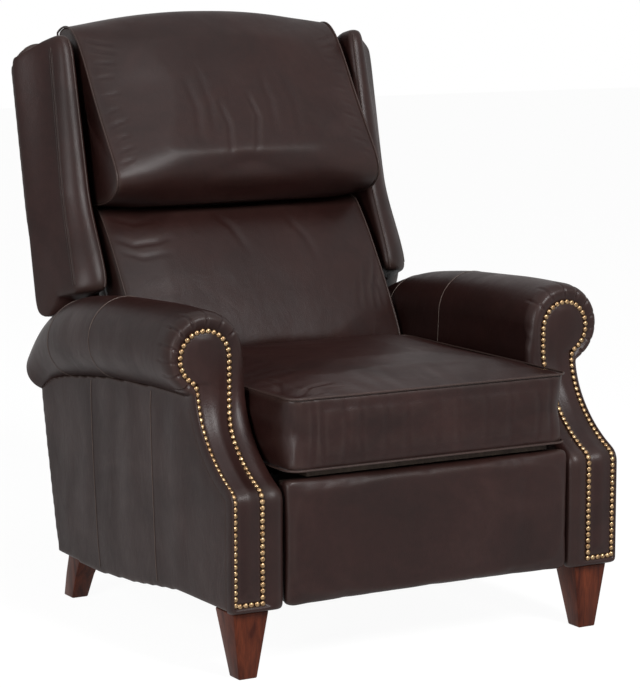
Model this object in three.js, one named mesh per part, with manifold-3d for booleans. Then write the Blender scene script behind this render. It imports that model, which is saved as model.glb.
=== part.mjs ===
// Wingback recliner: a push-back armchair on four tapered legs, built up piece by piece.
// Millimetres, +Z up. The sitter faces -Y, x = 0 is the plane of symmetry, the feet stand on z = 0.
// "left" is the sitter's left hand, on the +X side.

import * as THREE from 'three';
import { mergeVertices } from 'three/addons/utils/BufferGeometryUtils.js';
import Module from 'manifold-3d';

const wasm = await Module();
wasm.setup();

// Clearances
const touch = 0.3; // between pieces that rest on each other
const running = 0.5; // round a pin, and round a sliding bar
const overrun = 20; // how far a cutting solid runs past what it cuts

// Seat cushion and the rails under it: the width, depth and seat height of the chair are set out from them
const seatCushion = {
  halfWidth: 277, sideGap: 8, front: -437, rear: 98, thickness: 126.7,
  crown: 24, corner: 24, edge: 12, drawnIn: 4,
};
const seatRail = {
  top: 333, height: 33, thickness: 26, depth: 26, sideGap: 45, frontInset: 107, rearInset: 23,
};
const seatDeck = { frontInset: 13, rearInset: 141, thickness: 7.7 };

// Base
const base = {
  armWidth: 102, // from the inside to the outside of an arm
  frontInset: 5, // face of the arm fronts below the knee, behind the front of the cushion
  backRoom: 140.5, // from the rear of the cushion to the foot of the rear plane
  footHeight: 92,
  rake: 12 * THREE.MathUtils.DEG2RAD, // lean of the rear plane
};
const insideX = seatCushion.halfWidth + seatCushion.sideGap;
const outsideX = insideX + base.armWidth;
const armMiddle = (insideX + outsideX) / 2;
const frontY = seatCushion.front + base.frontInset;
const rearY = seatCushion.rear + base.backRoom;

// Arm front: a straight lower face, a knee, a sweep back to the neck, and a scroll on top
const armFront = {
  bottom: 116,
  kneeStart: 300, // where the straight face ends
  kneeRadius: 24,
  kneeSlope: 25 * THREE.MathUtils.DEG2RAD, // slope of the face just above the knee
  neckSetBack: 130, // how far the neck stands behind the lower face
  neckHeight: 482,
  sweepLow: 45, // pull of the sweep at the knee
  sweepHigh: 85, // pull of the sweep at the neck
};
const scroll = { outerInset: 26, rise: 46, radius: 74, neckDrop: 38 };
const scrollX = outsideX - scroll.outerInset;
const scrollZ = armFront.neckHeight + scroll.rise;
const border = { thickness: 12, pocket: 5 };
const facing = { sunk: 1.2 };
const nailLine = {
  inset: 42, // inner row, from the inside of the arm
  outset: 9, // outer row, from the outside of the arm
  rise: 15, // bottom row, above the lower edge of the border
  archShift: 2, // centre of the arch, outwards from the scroll's
  archDrop: 5, // and below it
  archInset: 28, // the arch, in from the scroll
  footDrop: 17, // below the neck: where the inner row starts to lean in
  straightDrop: 82, // below the neck: where the inner row is straight again
};
const nail = { spacing: 10.6, radius: 4.7, height: 2.8, seat: 1.4, sides: 4, strip: 10.4, stripSunk: 1.6 };

// Arm pads and panels
const roll = { inset: 2, drop: 108, innerAngle: 196 * THREE.MathUtils.DEG2RAD, segments: 18, steps: 14 };
// along the roll: share of its length, share of its drop
const rollDropShares = [
  [0, 0], [0.17, 0], [0.466, 0.083], [0.595, 0.167], [0.757, 0.29], [0.88, 0.46], [0.951, 0.76], [1, 1],
];
const armPanel = { thickness: 14, innerTopDrop: 28 };
// lower edge of the side: share of its length, share of its drop from the arm front to the rear foot
const sideHemShares = [
  [0.107, -0.21], [0.303, -0.08], [0.415, 0.29], [0.519, 0.67], [0.747, 1.17], [0.981, 1],
];

// Wooden base frame
const stump = { thickness: 30, shift: 1, neckInset: 62, creaseRise: 13 };
const rearPost = { thickness: 42, shift: 7, depth: 45, topGap: 32 };
const sideRail = { thickness: 25, shift: 1, rise: 16, height: 60 };
const rearRail = { thickness: 28, rise: 20, height: 150 };
const rearCover = { thickness: 12, height: 198 };

// Legs: each stands out from the middle of the arm by a shift
const frontLeg = { shift: 6, gap: 1, width: 66, inset: 12, footShift: 7, footWidth: 34, footInset: 22 };
const rearLeg = {
  shift: 7, width: 46, depth: 52, inset: 53.5, footWidth: 32, footDepth: 37, footOutset: 1.5,
  bowHeight: 46, bowWidth: 38, bowDepth: 43, bowInset: 21.5,
};

// Mechanism side plates with the slide channels
const plate = {
  sideGap: 17, thickness: 3, frontInset: 132, rearInset: 16.5, topDrop: 7, pivotRise: 22, strap: 22,
  bossRadius: 9, bossInset: 40, bossDrop: 56,
};
const channel = { depth: 17, wall: 3, frontInset: 102 };
const slideBar = { play: 3, drop: 24, height: 12, rearInset: 15 };

// Footrest linkage, seen from the side with the footrest closed
const link = {
  gap: 3, thickness: 3, halfWidth: 11, reach: 165, start: 120 * THREE.MathUtils.DEG2RAD,
  rearPivotInset: 252, pivotDrop: 76.2, spacing: 85, pinRadius: 4, hubSides: 12,
  rise: 23 * THREE.MathUtils.DEG2RAD, // of the line from the rear pivots to the front ones
};
const torqueTube = { radius: 9, sides: 12 };
const footPivot = { inset: 52, drop: 101 };
const footBracket = { thickness: 3, flange: 28, below: 50, above: 52, lip: 30 };
const footPad = { sideGap: 4, bottom: 117, topGap: 1, thickness: 22, crown: 6, corner: 12, edge: 5 };
const footBoard = { margin: 5, bottomMargin: 7, topMargin: 6, thickness: 15, inset: 37 };

// Springs
const spring = { wire: 3.6, swing: 24, bend: 56, tieInset: 90 };
const seatSpring = { count: 5, spacing: 88 };

// Back, in its own frame: x across, z up along the rake, y = 0 on its rear face
const backHeight = 938; // top of the wings
const backPivot = { inset: -11.5, drop: 11, pinRadius: 6, eyeRadius: 12 };
const cover = {
  thickness: 12, bottomGap: 19.6, lowerInset: 5, shoulderRise: 45.3, cornerRadius: 42, cornerRise: 6,
  crownRise: 17,
};
const stile = { width: 29.7, depth: 32.7, bottomInset: 2, topInset: 13 };
const backRail = { height: 42, lowerInset: 12, upperInset: 5 };
const backBracket = { thickness: 3, ahead: 7.4, behind: 20.6, below: 15.4, above: 132.6 };
const backSpring = { count: 5, rise: 126, spacing: 104 };
const wing = {
  innerGap: 5, lipGap: 16, bottomDip: 33, rearRadius: 42, frontRadius: 12, bottomRadius: 16, belly: 6, lip: 6,
};
// the wing's front seam, in from the outside, and the depth of that seam and of the inner edge
const wingFoot = { seamInset: 33, seamDepth: 118, lipDepth: 142 };
const wingWaist = { seamInset: 42, seamDepth: 87, lipDepth: 104 };
const wingHead = { seamInset: 52, seamDepth: 79, lipDepth: 95 };
const wingWaistShare = 0.42; // up the wing
const lumbar = {
  hingeGap: 42.6, seatGap: 1, height: 353, topDepth: 82,
  crown: 22, corner: 30, edge: 12, drawnIn: 4, belly: 20,
};
const headPillow = {
  sideGap: 4, gap: 8, topRise: 28, footDepth: 183, topDepth: 62,
  crown: 40, corner: 34, edge: 12, drawnIn: 3, archedTop: 25, belly: 10,
};

// Materials
const leather = new THREE.MeshStandardMaterial({ color: 0x2b1d17, roughness: 0.48, metalness: 0 });
const hardwood = new THREE.MeshStandardMaterial({ color: 0x9a7b55, roughness: 0.7, metalness: 0 });
const legWood = new THREE.MeshStandardMaterial({ color: 0x4a2317, roughness: 0.35, metalness: 0 });
const steel = new THREE.MeshStandardMaterial({ color: 0x3a3b3d, roughness: 0.45, metalness: 0.9 });
const springSteel = new THREE.MeshStandardMaterial({ color: 0x77787a, roughness: 0.4, metalness: 0.9 });
const brass = new THREE.MeshStandardMaterial({ color: 0x9c7b45, roughness: 0.35, metalness: 0.9 });

// Solids

// Positions and triangles alone, with shared corners merged
function welded(geometry) {
  const bare = geometry.clone();
  bare.deleteAttribute('normal');
  bare.deleteAttribute('uv');
  return mergeVertices(bare);
}

function toSolid(geometry) {
  const merged = welded(geometry);
  return new wasm.Manifold(new wasm.Mesh({
    numProp: 3,
    vertProperties: new Float32Array(merged.attributes.position.array),
    triVerts: new Uint32Array(merged.index.array),
  }));
}

function toGeometry(solid) {
  const mesh = solid.getMesh();
  const geometry = new THREE.BufferGeometry();
  geometry.setAttribute('position', new THREE.BufferAttribute(new Float32Array(mesh.vertProperties), 3));
  geometry.setIndex(new THREE.BufferAttribute(new Uint32Array(mesh.triVerts), 1));
  geometry.computeVertexNormals();
  return geometry;
}

function union(...geometries) {
  return toGeometry(geometries.map(toSolid).reduce((a, b) => a.add(b)));
}

function cut(geometry, ...tools) {
  return toGeometry(tools.map(toSolid).reduce((a, b) => a.subtract(b), toSolid(geometry)));
}

function common(...geometries) {
  return toGeometry(geometries.map(toSolid).reduce((a, b) => a.intersect(b)));
}

// The same piece for the other side of the chair
function mirrored(geometry) {
  const copy = welded(geometry);
  copy.applyMatrix4(new THREE.Matrix4().makeScale(-1, 1, 1));
  const index = copy.index.array;
  for (let i = 0; i < index.length; i += 3) {
    [index[i], index[i + 1]] = [index[i + 1], index[i]];
  }
  copy.computeVertexNormals();
  return copy;
}

function box(x0, x1, y0, y1, z0, z1) {
  const geometry = new THREE.BoxGeometry(x1 - x0, y1 - y0, z1 - z0);
  return geometry.translate((x0 + x1) / 2, (y0 + y1) / 2, (z0 + z1) / 2);
}

function extruded(points, depth) {
  return new THREE.ExtrudeGeometry(new THREE.Shape(points), { depth, bevelEnabled: false });
}

// Outline given in (y, z), extruded along x
function prismX(points, x0, x1) {
  const turn = new THREE.Matrix4().makeBasis(
    new THREE.Vector3(0, 1, 0), new THREE.Vector3(0, 0, 1), new THREE.Vector3(1, 0, 0),
  );
  return extruded(points, x1 - x0).applyMatrix4(turn).translate(x0, 0, 0);
}

// Outline given in (x, z), extruded along y
function prismY(points, y0, y1) {
  return extruded(points, y1 - y0).rotateX(Math.PI / 2).translate(0, y1, 0);
}

// Closed skin over rings of equal count, with a fan on each end
function loft(rings) {
  const count = rings[0].length;
  const positions = rings.flat().flatMap((p) => [p.x, p.y, p.z]);
  const index = [];
  for (let i = 0; i + 1 < rings.length; i += 1) {
    for (let j = 0; j < count; j += 1) {
      const a = i * count + j;
      const b = i * count + ((j + 1) % count);
      index.push(a, b, b + count, a, b + count, a + count);
    }
  }
  const fan = (ring, first, flip) => {
    const centre = ring.reduce((sum, p) => sum.add(p), new THREE.Vector3()).divideScalar(count);
    const apex = positions.length / 3;
    positions.push(centre.x, centre.y, centre.z);
    for (let j = 0; j < count; j += 1) {
      const a = first + j;
      const b = first + ((j + 1) % count);
      index.push(...(flip ? [apex, b, a] : [apex, a, b]));
    }
  };
  fan(rings[0], 0, true);
  fan(rings[rings.length - 1], (rings.length - 1) * count, false);
  if (signedVolume(positions, index) < 0) index.reverse();
  const geometry = new THREE.BufferGeometry();
  geometry.setAttribute('position', new THREE.Float32BufferAttribute(positions, 3));
  geometry.setIndex(index);
  geometry.computeVertexNormals();
  return geometry;
}

function signedVolume(positions, index) {
  const corner = (i) => new THREE.Vector3().fromArray(positions, index[i] * 3);
  let volume = 0;
  for (let i = 0; i < index.length; i += 3) {
    volume += corner(i).dot(corner(i + 1).cross(corner(i + 2)));
  }
  return volume;
}

// A flat bar through a chain of pivots, seen in (y, z), with round ends
function bar(pivots, halfWidth, x0, x1) {
  const parts = [];
  for (let i = 0; i + 1 < pivots.length; i += 1) {
    const [a, b] = [pivots[i], pivots[i + 1]];
    const side = new THREE.Vector2(b.y - a.y, -(b.x - a.x)).setLength(halfWidth);
    const points = [a.clone().add(side), b.clone().add(side), b.clone().sub(side), a.clone().sub(side)];
    parts.push(prismX(points, x0, x1));
  }
  pivots.forEach((p) => parts.push(pin(p, halfWidth, x0, x1)));
  return union(...parts);
}

function pin(place, radius, x0, x1, sides = link.hubSides) {
  const geometry = new THREE.CylinderGeometry(radius, radius, x1 - x0, sides);
  return geometry.rotateZ(Math.PI / 2).translate((x0 + x1) / 2, place.x, place.y);
}

const crownShares = [0.86, 0.62, 0.32]; // of the plan, up the crown of a cushion

// A box cushion: plan in (x, y), thickness along z from 0, crowned on top, sides drawn in at mid-height
function cushionGeometry({ halfWidth, halfDepth, thickness, crown, corner, edge, drawnIn }, place) {
  const plan = cushionPlan(halfWidth, halfDepth, corner);
  const half = thickness / 2;
  const soft = edge / 3;
  const levels = [
    [edge, 0], [0, soft], [drawnIn, half], [0, thickness - soft], [edge, thickness],
  ].map(([inset, z]) => ({ inset, z }));
  const rings = levels.map(({ inset, z }) => plan.map((p) => {
    return place(p.x * (1 - inset / halfWidth), p.y * (1 - inset / halfDepth), z);
  }));
  crownShares.forEach((share) => {
    const rise = thickness + crown * (1 - share * share);
    rings.push(plan.map((p) => place(p.x * share, p.y * share, rise)));
  });
  return loft(rings);
}

function cushionPlan(halfWidth, halfDepth, corner, turns = 4, runs = 6) {
  const points = [];
  const centres = [[1, 1], [-1, 1], [-1, -1], [1, -1]];
  centres.forEach(([sx, sy], k) => {
    for (let i = 0; i <= turns; i += 1) {
      const angle = (k + i / turns) * Math.PI / 2;
      points.push(new THREE.Vector2(
        sx * (halfWidth - corner) + corner * Math.cos(angle),
        sy * (halfDepth - corner) + corner * Math.sin(angle),
      ));
    }
    const from = points[points.length - 1];
    const [nx, ny] = centres[(k + 1) % centres.length];
    const next = (k + 1) * Math.PI / 2;
    const to = new THREE.Vector2(
      nx * (halfWidth - corner) + corner * Math.cos(next),
      ny * (halfDepth - corner) + corner * Math.sin(next),
    );
    for (let i = 1; i < runs; i += 1) points.push(from.clone().lerp(to, i / runs));
  });
  return points;
}

// Zigzag springs between two ends, tied by two wires into one mat; plan in (along, across)
function springMat(length, count, spacing) {
  const turns = Math.round(length / spring.bend);
  const step = length / turns;
  const parts = [];
  for (let k = 0; k < count; k += 1) {
    const centre = (k - (count - 1) / 2) * spacing;
    const upper = [];
    const lower = [];
    for (let i = 0; i <= 2 * turns; i += 1) {
      const along = i * step / 2;
      const across = centre + (i % 2 ? spring.swing : -spring.swing);
      upper.push(new THREE.Vector2(along, across + spring.wire / 2));
      lower.push(new THREE.Vector2(along, across - spring.wire / 2));
    }
    parts.push(extruded([...lower, ...upper.reverse()], spring.wire));
  }
  const reach = (count - 1) / 2 * spacing + spring.swing;
  [spring.tieInset, length - spring.tieInset].forEach((along) => {
    const half = spring.wire / 2;
    parts.push(box(along - half, along + half, -reach, reach, -half, half));
  });
  return union(...parts);
}

// Lines that several pieces follow

const rearAt = (z) => rearY + (z - base.footHeight) * Math.tan(base.rake);

const neckY = frontY + armFront.neckSetBack;

const rearCoverTop = base.footHeight + rearCover.height;

// Height up the rake of a point on the rear plane
const upTheRake = (z) => (z - base.footHeight) / Math.cos(base.rake);

const rollRadius = scroll.radius - roll.inset;
const creaseHeight = scrollZ - Math.sqrt(rollRadius ** 2 - scroll.outerInset ** 2);

// The face of the arm front in (y, z), as curves from the bottom up
function armFrontCurves(low, high) {
  const { kneeStart, kneeRadius, kneeSlope, neckHeight, sweepLow, sweepHigh } = armFront;
  const turn = Math.PI / 2 + kneeSlope;
  const centre = new THREE.Vector2(frontY + kneeRadius, kneeStart);
  const kneeEnd = new THREE.Vector2(Math.cos(turn), Math.sin(turn)).multiplyScalar(kneeRadius).add(centre);
  const neck = new THREE.Vector2(neckY, neckHeight);
  return [
    new THREE.LineCurve(new THREE.Vector2(frontY, low), new THREE.Vector2(frontY, kneeStart)),
    new THREE.EllipseCurve(centre.x, centre.y, kneeRadius, kneeRadius, Math.PI, turn, true),
    new THREE.CubicBezierCurve(
      kneeEnd,
      new THREE.Vector2(Math.cos(kneeSlope), Math.sin(kneeSlope)).multiplyScalar(sweepLow).add(kneeEnd),
      new THREE.Vector2(neckY, neckHeight - sweepHigh),
      neck,
    ),
    new THREE.LineCurve(neck, new THREE.Vector2(neckY, high)),
  ];
}

const armFrontSteps = [1, 5, 12, 1]; // along each of those curves

// Points along that face, moved into the arm by an inset and ended at a height
function armFrontLine(inset, low, high) {
  const points = [];
  const above = Math.max(high, armFront.neckHeight) + overrun;
  armFrontCurves(low, above).forEach((curve, k) => {
    const count = armFrontSteps[k];
    for (let i = points.length ? 1 : 0; i <= count; i += 1) {
      const tangent = curve.getTangent(i / count);
      const point = curve.getPoint(i / count);
      points.push(new THREE.Vector2(point.x + tangent.y * inset, point.y - tangent.x * inset));
    }
  });
  const next = points.findIndex((p) => p.y >= high);
  const [a, b] = [points[next - 1], points[next]];
  return [...points.slice(0, next), a.clone().lerp(b, (high - a.y) / (b.y - a.y))];
}

// A plate that follows the arm front between two insets
function armFrontSlab(near, far) {
  const low = armFront.bottom - overrun;
  const high = scrollZ + scroll.radius + overrun;
  const points = [...armFrontLine(near, low, high), ...armFrontLine(far, low, high).reverse()];
  return prismX(points, insideX - overrun, scrollX + scroll.radius + overrun);
}

const scrollSteps = 20; // round the scroll of an arm front

// A front view of the arm: two straight sides with a scroll on top
function scrollOutline({ inner, outer, bottom, x, z, radius, foot, straight }) {
  const reach = outer - x;
  const start = -Math.acos(reach / radius);
  const points = [new THREE.Vector2(inner, bottom), new THREE.Vector2(outer, bottom)];
  const arc = new THREE.EllipseCurve(x, z, radius, radius, start, Math.PI, false);
  points.push(...arc.getPoints(scrollSteps));
  points.push(new THREE.Vector2(x - radius, foot), new THREE.Vector2(inner, straight));
  return points;
}

const borderOutline = scrollOutline({
  inner: insideX,
  outer: outsideX,
  bottom: armFront.bottom,
  x: scrollX,
  z: scrollZ,
  radius: scroll.radius,
  foot: scrollZ - scroll.neckDrop / 2,
  straight: scrollZ - scroll.neckDrop,
});

// The nail line, made wider or narrower by a margin
function nailOutline(margin) {
  return scrollOutline({
    inner: insideX + nailLine.inset - margin,
    outer: outsideX - nailLine.outset + margin,
    bottom: armFront.bottom + nailLine.rise - margin,
    x: scrollX + nailLine.archShift,
    z: scrollZ - nailLine.archDrop,
    radius: scroll.radius - nailLine.archInset + margin,
    foot: armFront.neckHeight - nailLine.footDrop,
    straight: armFront.neckHeight - nailLine.straightDrop,
  });
}

function cutAcrossArm(outline) {
  return prismY(outline, frontY - overrun, neckY + border.thickness + overrun);
}

// Stations along the arm pad, each with how far the pad has dropped there
const rollFront = neckY + border.thickness + touch;
const rollRear = rearAt(scrollZ) + overrun;
const rollDropLine = new THREE.SplineCurve(rollDropShares.map(([along, drop]) => new THREE.Vector2(
  rollFront + along * (rollRear - rollFront), drop * roll.drop,
))).getPoints(roll.steps * rollDropShares.length);
const rollStations = Array.from({ length: roll.steps + 1 }, (_, i) => {
  const y = rollFront + (rollRear - rollFront) * i / roll.steps;
  const next = Math.max(1, rollDropLine.findIndex((p) => p.x >= y));
  const [a, b] = [rollDropLine[next - 1], rollDropLine[next]];
  return { y, drop: a.y + (b.y - a.y) * (y - a.x) / (b.x - a.x) };
});

function rollDropAt(y) {
  const next = rollStations.findIndex((station) => station.y >= y);
  const [a, b] = [rollStations[next - 1], rollStations[next]];
  return a.drop + (b.drop - a.drop) * (y - a.y) / (b.y - a.y);
}

const sideHem = sideHemShares.map(([along, drop]) => new THREE.Vector2(
  frontY + along * (rearY - frontY), armFront.bottom - drop * (armFront.bottom - base.footHeight),
));

// Outline of an arm side in (y, z): face of the arm front, top under the pad, wavy hem
function armSideOutline(frontInset, topHeight) {
  const face = armFrontLine(frontInset, sideHem[0].y, topHeight);
  const top = rollStations.slice(1).map(({ y, drop }) => new THREE.Vector2(y, topHeight - drop));
  const hem = [...sideHem].reverse();
  return [...face, ...top, new THREE.Vector2(rollRear, base.footHeight), ...hem];
}

// The raked slab between the rear plane and a depth in front of it
function rearSlab(x0, x1, z0, z1, near, far) {
  const points = [
    new THREE.Vector2(rearAt(z0) - far, z0), new THREE.Vector2(rearAt(z0) - near, z0),
    new THREE.Vector2(rearAt(z1) - near, z1), new THREE.Vector2(rearAt(z1) - far, z1),
  ];
  return prismX(points, x0, x1);
}

// All that stands in front of the rear plane by at least an inset
function beforeRear(inset) {
  const low = armFront.bottom - armFront.neckHeight;
  const high = scrollZ + scroll.radius + overrun;
  const reach = scrollX + scroll.radius + overrun;
  return rearSlab(-reach, reach, low, high, inset, rearAt(high) - frontY + overrun);
}

// Scene graph

const recliner = new THREE.Group();
const backFrame = new THREE.Group();
backFrame.position.set(0, rearY, base.footHeight);
backFrame.rotation.x = -base.rake;
recliner.add(backFrame);

function addPiece(parent, name, geometry, material) {
  const mesh = new THREE.Mesh(geometry, material);
  mesh.name = name;
  parent.add(mesh);
}

// A piece on the left arm or side, and its twin on the right
function addPair(parent, name, geometry, material) {
  addPiece(parent, `${name}_left`, geometry, material);
  addPiece(parent, `${name}_right`, mirrored(geometry), material);
}

// Arms

function armBorder() {
  const pocketOutline = nailOutline(nail.strip / 2 + touch);
  const pocket = common(armFrontSlab(-overrun, border.pocket), cutAcrossArm(pocketOutline));
  return cut(common(armFrontSlab(0, border.thickness), cutAcrossArm(borderOutline)), pocket);
}

function armFacing() {
  const outline = nailOutline(-nail.strip / 2 - touch);
  return common(armFrontSlab(facing.sunk, border.pocket - touch), cutAcrossArm(outline));
}

// Places of the nail heads: walked along the nail line on the face of the arm front
function nailPlaces() {
  const face = armFrontLine(nail.stripSunk, armFront.bottom, scrollZ + scroll.radius);
  const at = (z) => {
    const after = Math.max(1, face.findIndex((p) => p.y >= z));
    const [a, b] = [face[after - 1], face[after]];
    const share = (z - a.y) / (b.y - a.y);
    return { y: a.x + (b.x - a.x) * share, lean: Math.atan2(b.x - a.x, b.y - a.y) };
  };
  const outline = nailOutline(0);
  const path = new THREE.CurvePath();
  outline.forEach((p, i) => {
    const q = outline[(i + 1) % outline.length];
    const steps = Math.ceil(p.distanceTo(q) / nail.spacing);
    for (let k = 0; k < steps; k += 1) {
      const a = p.clone().lerp(q, k / steps);
      const b = p.clone().lerp(q, (k + 1) / steps);
      const [from, to] = [a, b].map((corner) => new THREE.Vector3(corner.x, at(corner.y).y, corner.y));
      path.add(new THREE.LineCurve3(from, to));
    }
  });
  const count = Math.round(path.getLength() / nail.spacing);
  return Array.from({ length: count }, (_, i) => {
    const place = path.getPointAt(i / count);
    return { place, lean: at(place.z).lean };
  });
}

function nailTrim() {
  const outer = cutAcrossArm(nailOutline(nail.strip / 2));
  const inner = cutAcrossArm(nailOutline(-nail.strip / 2));
  const strip = cut(common(armFrontSlab(nail.stripSunk, border.pocket - touch), outer), inner);
  const profile = [[0, -nail.seat], [nail.radius, -nail.seat], [0, nail.height]]
    .map(([r, h]) => new THREE.Vector2(r, h));
  const heads = nailPlaces().map(({ place, lean }) => {
    const head = new THREE.LatheGeometry(profile, nail.sides);
    head.rotateX(Math.PI).rotateX(-lean);
    return head.translate(place.x, place.y, place.z);
  });
  return union(strip, ...heads);
}

function armRoll() {
  const start = -Math.acos(scroll.outerInset / rollRadius);
  const rings = rollStations.map(({ y, drop }) => Array.from({ length: roll.segments + 1 }, (_, k) => {
    const angle = start + (roll.innerAngle - start) * k / roll.segments;
    const x = scrollX + rollRadius * Math.cos(angle);
    return new THREE.Vector3(x, y, scrollZ - drop + rollRadius * Math.sin(angle));
  }));
  return common(loft(rings), beforeRear(0));
}

const rearDrop = rollDropAt(rearAt(creaseHeight - roll.drop));

function addArms() {
  const behindBorder = border.thickness + touch;
  const outerTop = creaseHeight - touch;
  const innerTop = scrollZ - armPanel.innerTopDrop;
  const innerFace = insideX + armPanel.thickness;
  const outerFace = outsideX - armPanel.thickness;
  const outside = prismX(armSideOutline(behindBorder, outerTop), outerFace, outsideX);
  const inside = prismX(armSideOutline(behindBorder, innerTop), insideX, innerFace);
  addPair(recliner, 'arm_outside_panel', common(outside, beforeRear(0)), leather);
  addPair(recliner, 'arm_inside_panel', common(inside, beforeRear(rearCover.thickness + touch)), leather);
  addPair(recliner, 'arm_roll_pad', armRoll(), leather);
  addPair(recliner, 'arm_front_border', armBorder(), leather);
  addPair(recliner, 'arm_front_facing', armFacing(), leather);
  addPair(recliner, 'nail_trim', nailTrim(), brass);

  const stripLow = rearCoverTop + touch;
  const stripHigh = scrollZ - rearDrop;
  const slab = rearSlab(innerFace + touch, outerFace - touch, stripLow, stripHigh, 0, rearCover.thickness);
  const strip = cut(slab, armRoll().translate(0, 0, -touch));
  addPair(recliner, 'arm_rear_strip', strip, leather);
}

// Wooden frame of the base

const frontLegTop = armFront.bottom - frontLeg.gap;

function addBaseFrame() {
  const stumpLow = frontLegTop + touch;
  const stumpHigh = creaseHeight + stump.creaseRise;
  const stumpBack = neckY + stump.neckInset;
  const stumpOutline = [
    ...armFrontLine(border.thickness + 2 * touch, stumpLow, stumpHigh),
    new THREE.Vector2(stumpBack, stumpHigh),
    new THREE.Vector2(stumpBack, stumpLow),
  ];
  const stumpX = armMiddle + stump.shift;
  const stumpHalf = stump.thickness / 2;
  addPair(recliner, 'arm_stump', prismX(stumpOutline, stumpX - stumpHalf, stumpX + stumpHalf), hardwood);

  const postX = armMiddle + rearPost.shift;
  const postHalf = rearPost.thickness / 2;
  const postRear = rearCover.thickness + touch;
  const postTop = creaseHeight - rearDrop - rearPost.topGap;
  addPair(recliner, 'rear_post', rearSlab(
    postX - postHalf, postX + postHalf, base.footHeight, postTop, postRear, postRear + rearPost.depth,
  ), hardwood);

  const railX = armMiddle + sideRail.shift;
  const railHalf = sideRail.thickness / 2;
  const railLow = armFront.bottom + sideRail.rise;
  const railRear = rearAt(railLow) - postRear - rearPost.depth - touch;
  addPair(recliner, 'side_rail', box(
    railX - railHalf, railX + railHalf, stumpBack + touch, railRear, railLow, railLow + sideRail.height,
  ), hardwood);

  const rearRailLow = base.footHeight + rearRail.rise;
  addPiece(recliner, 'rear_rail', rearSlab(
    -insideX + touch, insideX - touch, rearRailLow, rearRailLow + rearRail.height,
    postRear, postRear + rearRail.thickness,
  ), hardwood);

  const coverHalf = outsideX - armPanel.thickness - touch;
  addPiece(recliner, 'base_rear_cover', rearSlab(
    -coverHalf, coverHalf, base.footHeight, rearCoverTop, 0, rearCover.thickness,
  ), leather);
}

// Legs

function squareRing(x, front, width, depth, z) {
  const half = width / 2;
  return [
    new THREE.Vector3(x - half, front, z), new THREE.Vector3(x + half, front, z),
    new THREE.Vector3(x + half, front + depth, z), new THREE.Vector3(x - half, front + depth, z),
  ];
}

function addLegs() {
  const topX = armMiddle + frontLeg.shift;
  const footX = armMiddle + frontLeg.footShift;
  addPair(recliner, 'front_leg', loft([
    squareRing(footX, frontY + frontLeg.footInset, frontLeg.footWidth, frontLeg.footWidth, 0),
    squareRing(topX, frontY + frontLeg.inset, frontLeg.width, frontLeg.width, frontLegTop),
  ]), legWood);
  const { width, depth, inset, footWidth, footDepth, footOutset } = rearLeg;
  const { bowHeight, bowWidth, bowDepth, bowInset } = rearLeg;
  const rearX = armMiddle + rearLeg.shift;
  addPair(recliner, 'rear_leg', loft([
    squareRing(rearX, rearY + footOutset, footWidth, footDepth, 0),
    squareRing(rearX, rearY - bowInset, bowWidth, bowDepth, bowHeight),
    squareRing(rearX, rearY - inset, width, depth, base.footHeight - touch),
  ]), legWood);
}

// Mechanism

const plateX = insideX - plate.sideGap;
const linkX = plateX - link.gap - link.thickness;
const couplerX = linkX - link.gap - link.thickness;
const footBracketX = couplerX - link.gap - footBracket.thickness;
const backBracketX = plateX - link.gap - backBracket.thickness;
const seatSideX = insideX - seatRail.sideGap;
const seatRailRear = seatCushion.rear - seatRail.rearInset;
const slideRear = seatRailRear - slideBar.rearInset;
const slideFront = seatCushion.front + seatRail.frontInset;
const slideBottom = seatRail.top - slideBar.drop;

const rearPivot = new THREE.Vector2(frontY + link.rearPivotInset, seatRail.top - link.pivotDrop);
const forward = new THREE.Vector2(-Math.cos(link.rise), Math.sin(link.rise));
const frontPivot = rearPivot.clone().addScaledVector(forward, link.spacing);
const hang = new THREE.Vector2(-Math.cos(link.start), -Math.sin(link.start)).multiplyScalar(link.reach);
const rearKnee = rearPivot.clone().add(hang);
const frontKnee = frontPivot.clone().add(hang);
const footJoint = new THREE.Vector2(frontY + footPivot.inset, seatRail.top - footPivot.drop);
const backHinge = new THREE.Vector2(rearY - backPivot.inset, seatRail.top - backPivot.drop);

function sidePlate() {
  const outer = plateX + plate.thickness;
  const [front, rear] = [frontY + plate.frontInset, rearY - plate.rearInset];
  const [bottom, top] = [rearPivot.y - plate.pivotRise, seatRail.top - plate.topDrop];
  const body = box(plateX, outer, front, rear, bottom, top);
  const strapFoot = new THREE.Vector2(rear - plate.strap, (backHinge.y + bottom) / 2);
  const strap = bar([strapFoot, backHinge], backPivot.eyeRadius, plateX, outer);
  const low = slideBottom - running;
  const high = slideBottom + slideBar.height + running;
  const channelX = plateX - channel.depth;
  const channelFront = frontY + channel.frontInset;
  const channelBox = box(
    channelX, plateX + touch, channelFront, slideRear, low - channel.wall, high + channel.wall,
  );
  const groove = box(
    channelX - overrun, plateX - channel.wall, channelFront - overrun, slideRear + overrun, low, high,
  );
  const pins = [rearPivot, frontPivot].map((p) => pin(p, link.pinRadius, linkX - touch / 2, outer));
  const hingePin = pin(backHinge, backPivot.pinRadius, backBracketX + running, outer);
  const bosses = [front + plate.bossInset, rear - plate.bossInset].map((y) => {
    return pin(new THREE.Vector2(y, top - plate.bossDrop), plate.bossRadius, plateX, insideX - touch);
  });
  return cut(union(body, strap, channelBox, hingePin, ...pins, ...bosses), groove);
}

function linkBar(from, to) {
  const outer = linkX + link.thickness;
  const holes = [from, to].map((p) => pin(p, link.pinRadius + running, linkX - overrun, outer + overrun));
  return cut(bar([from, to], link.halfWidth, linkX, outer), ...holes);
}

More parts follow.
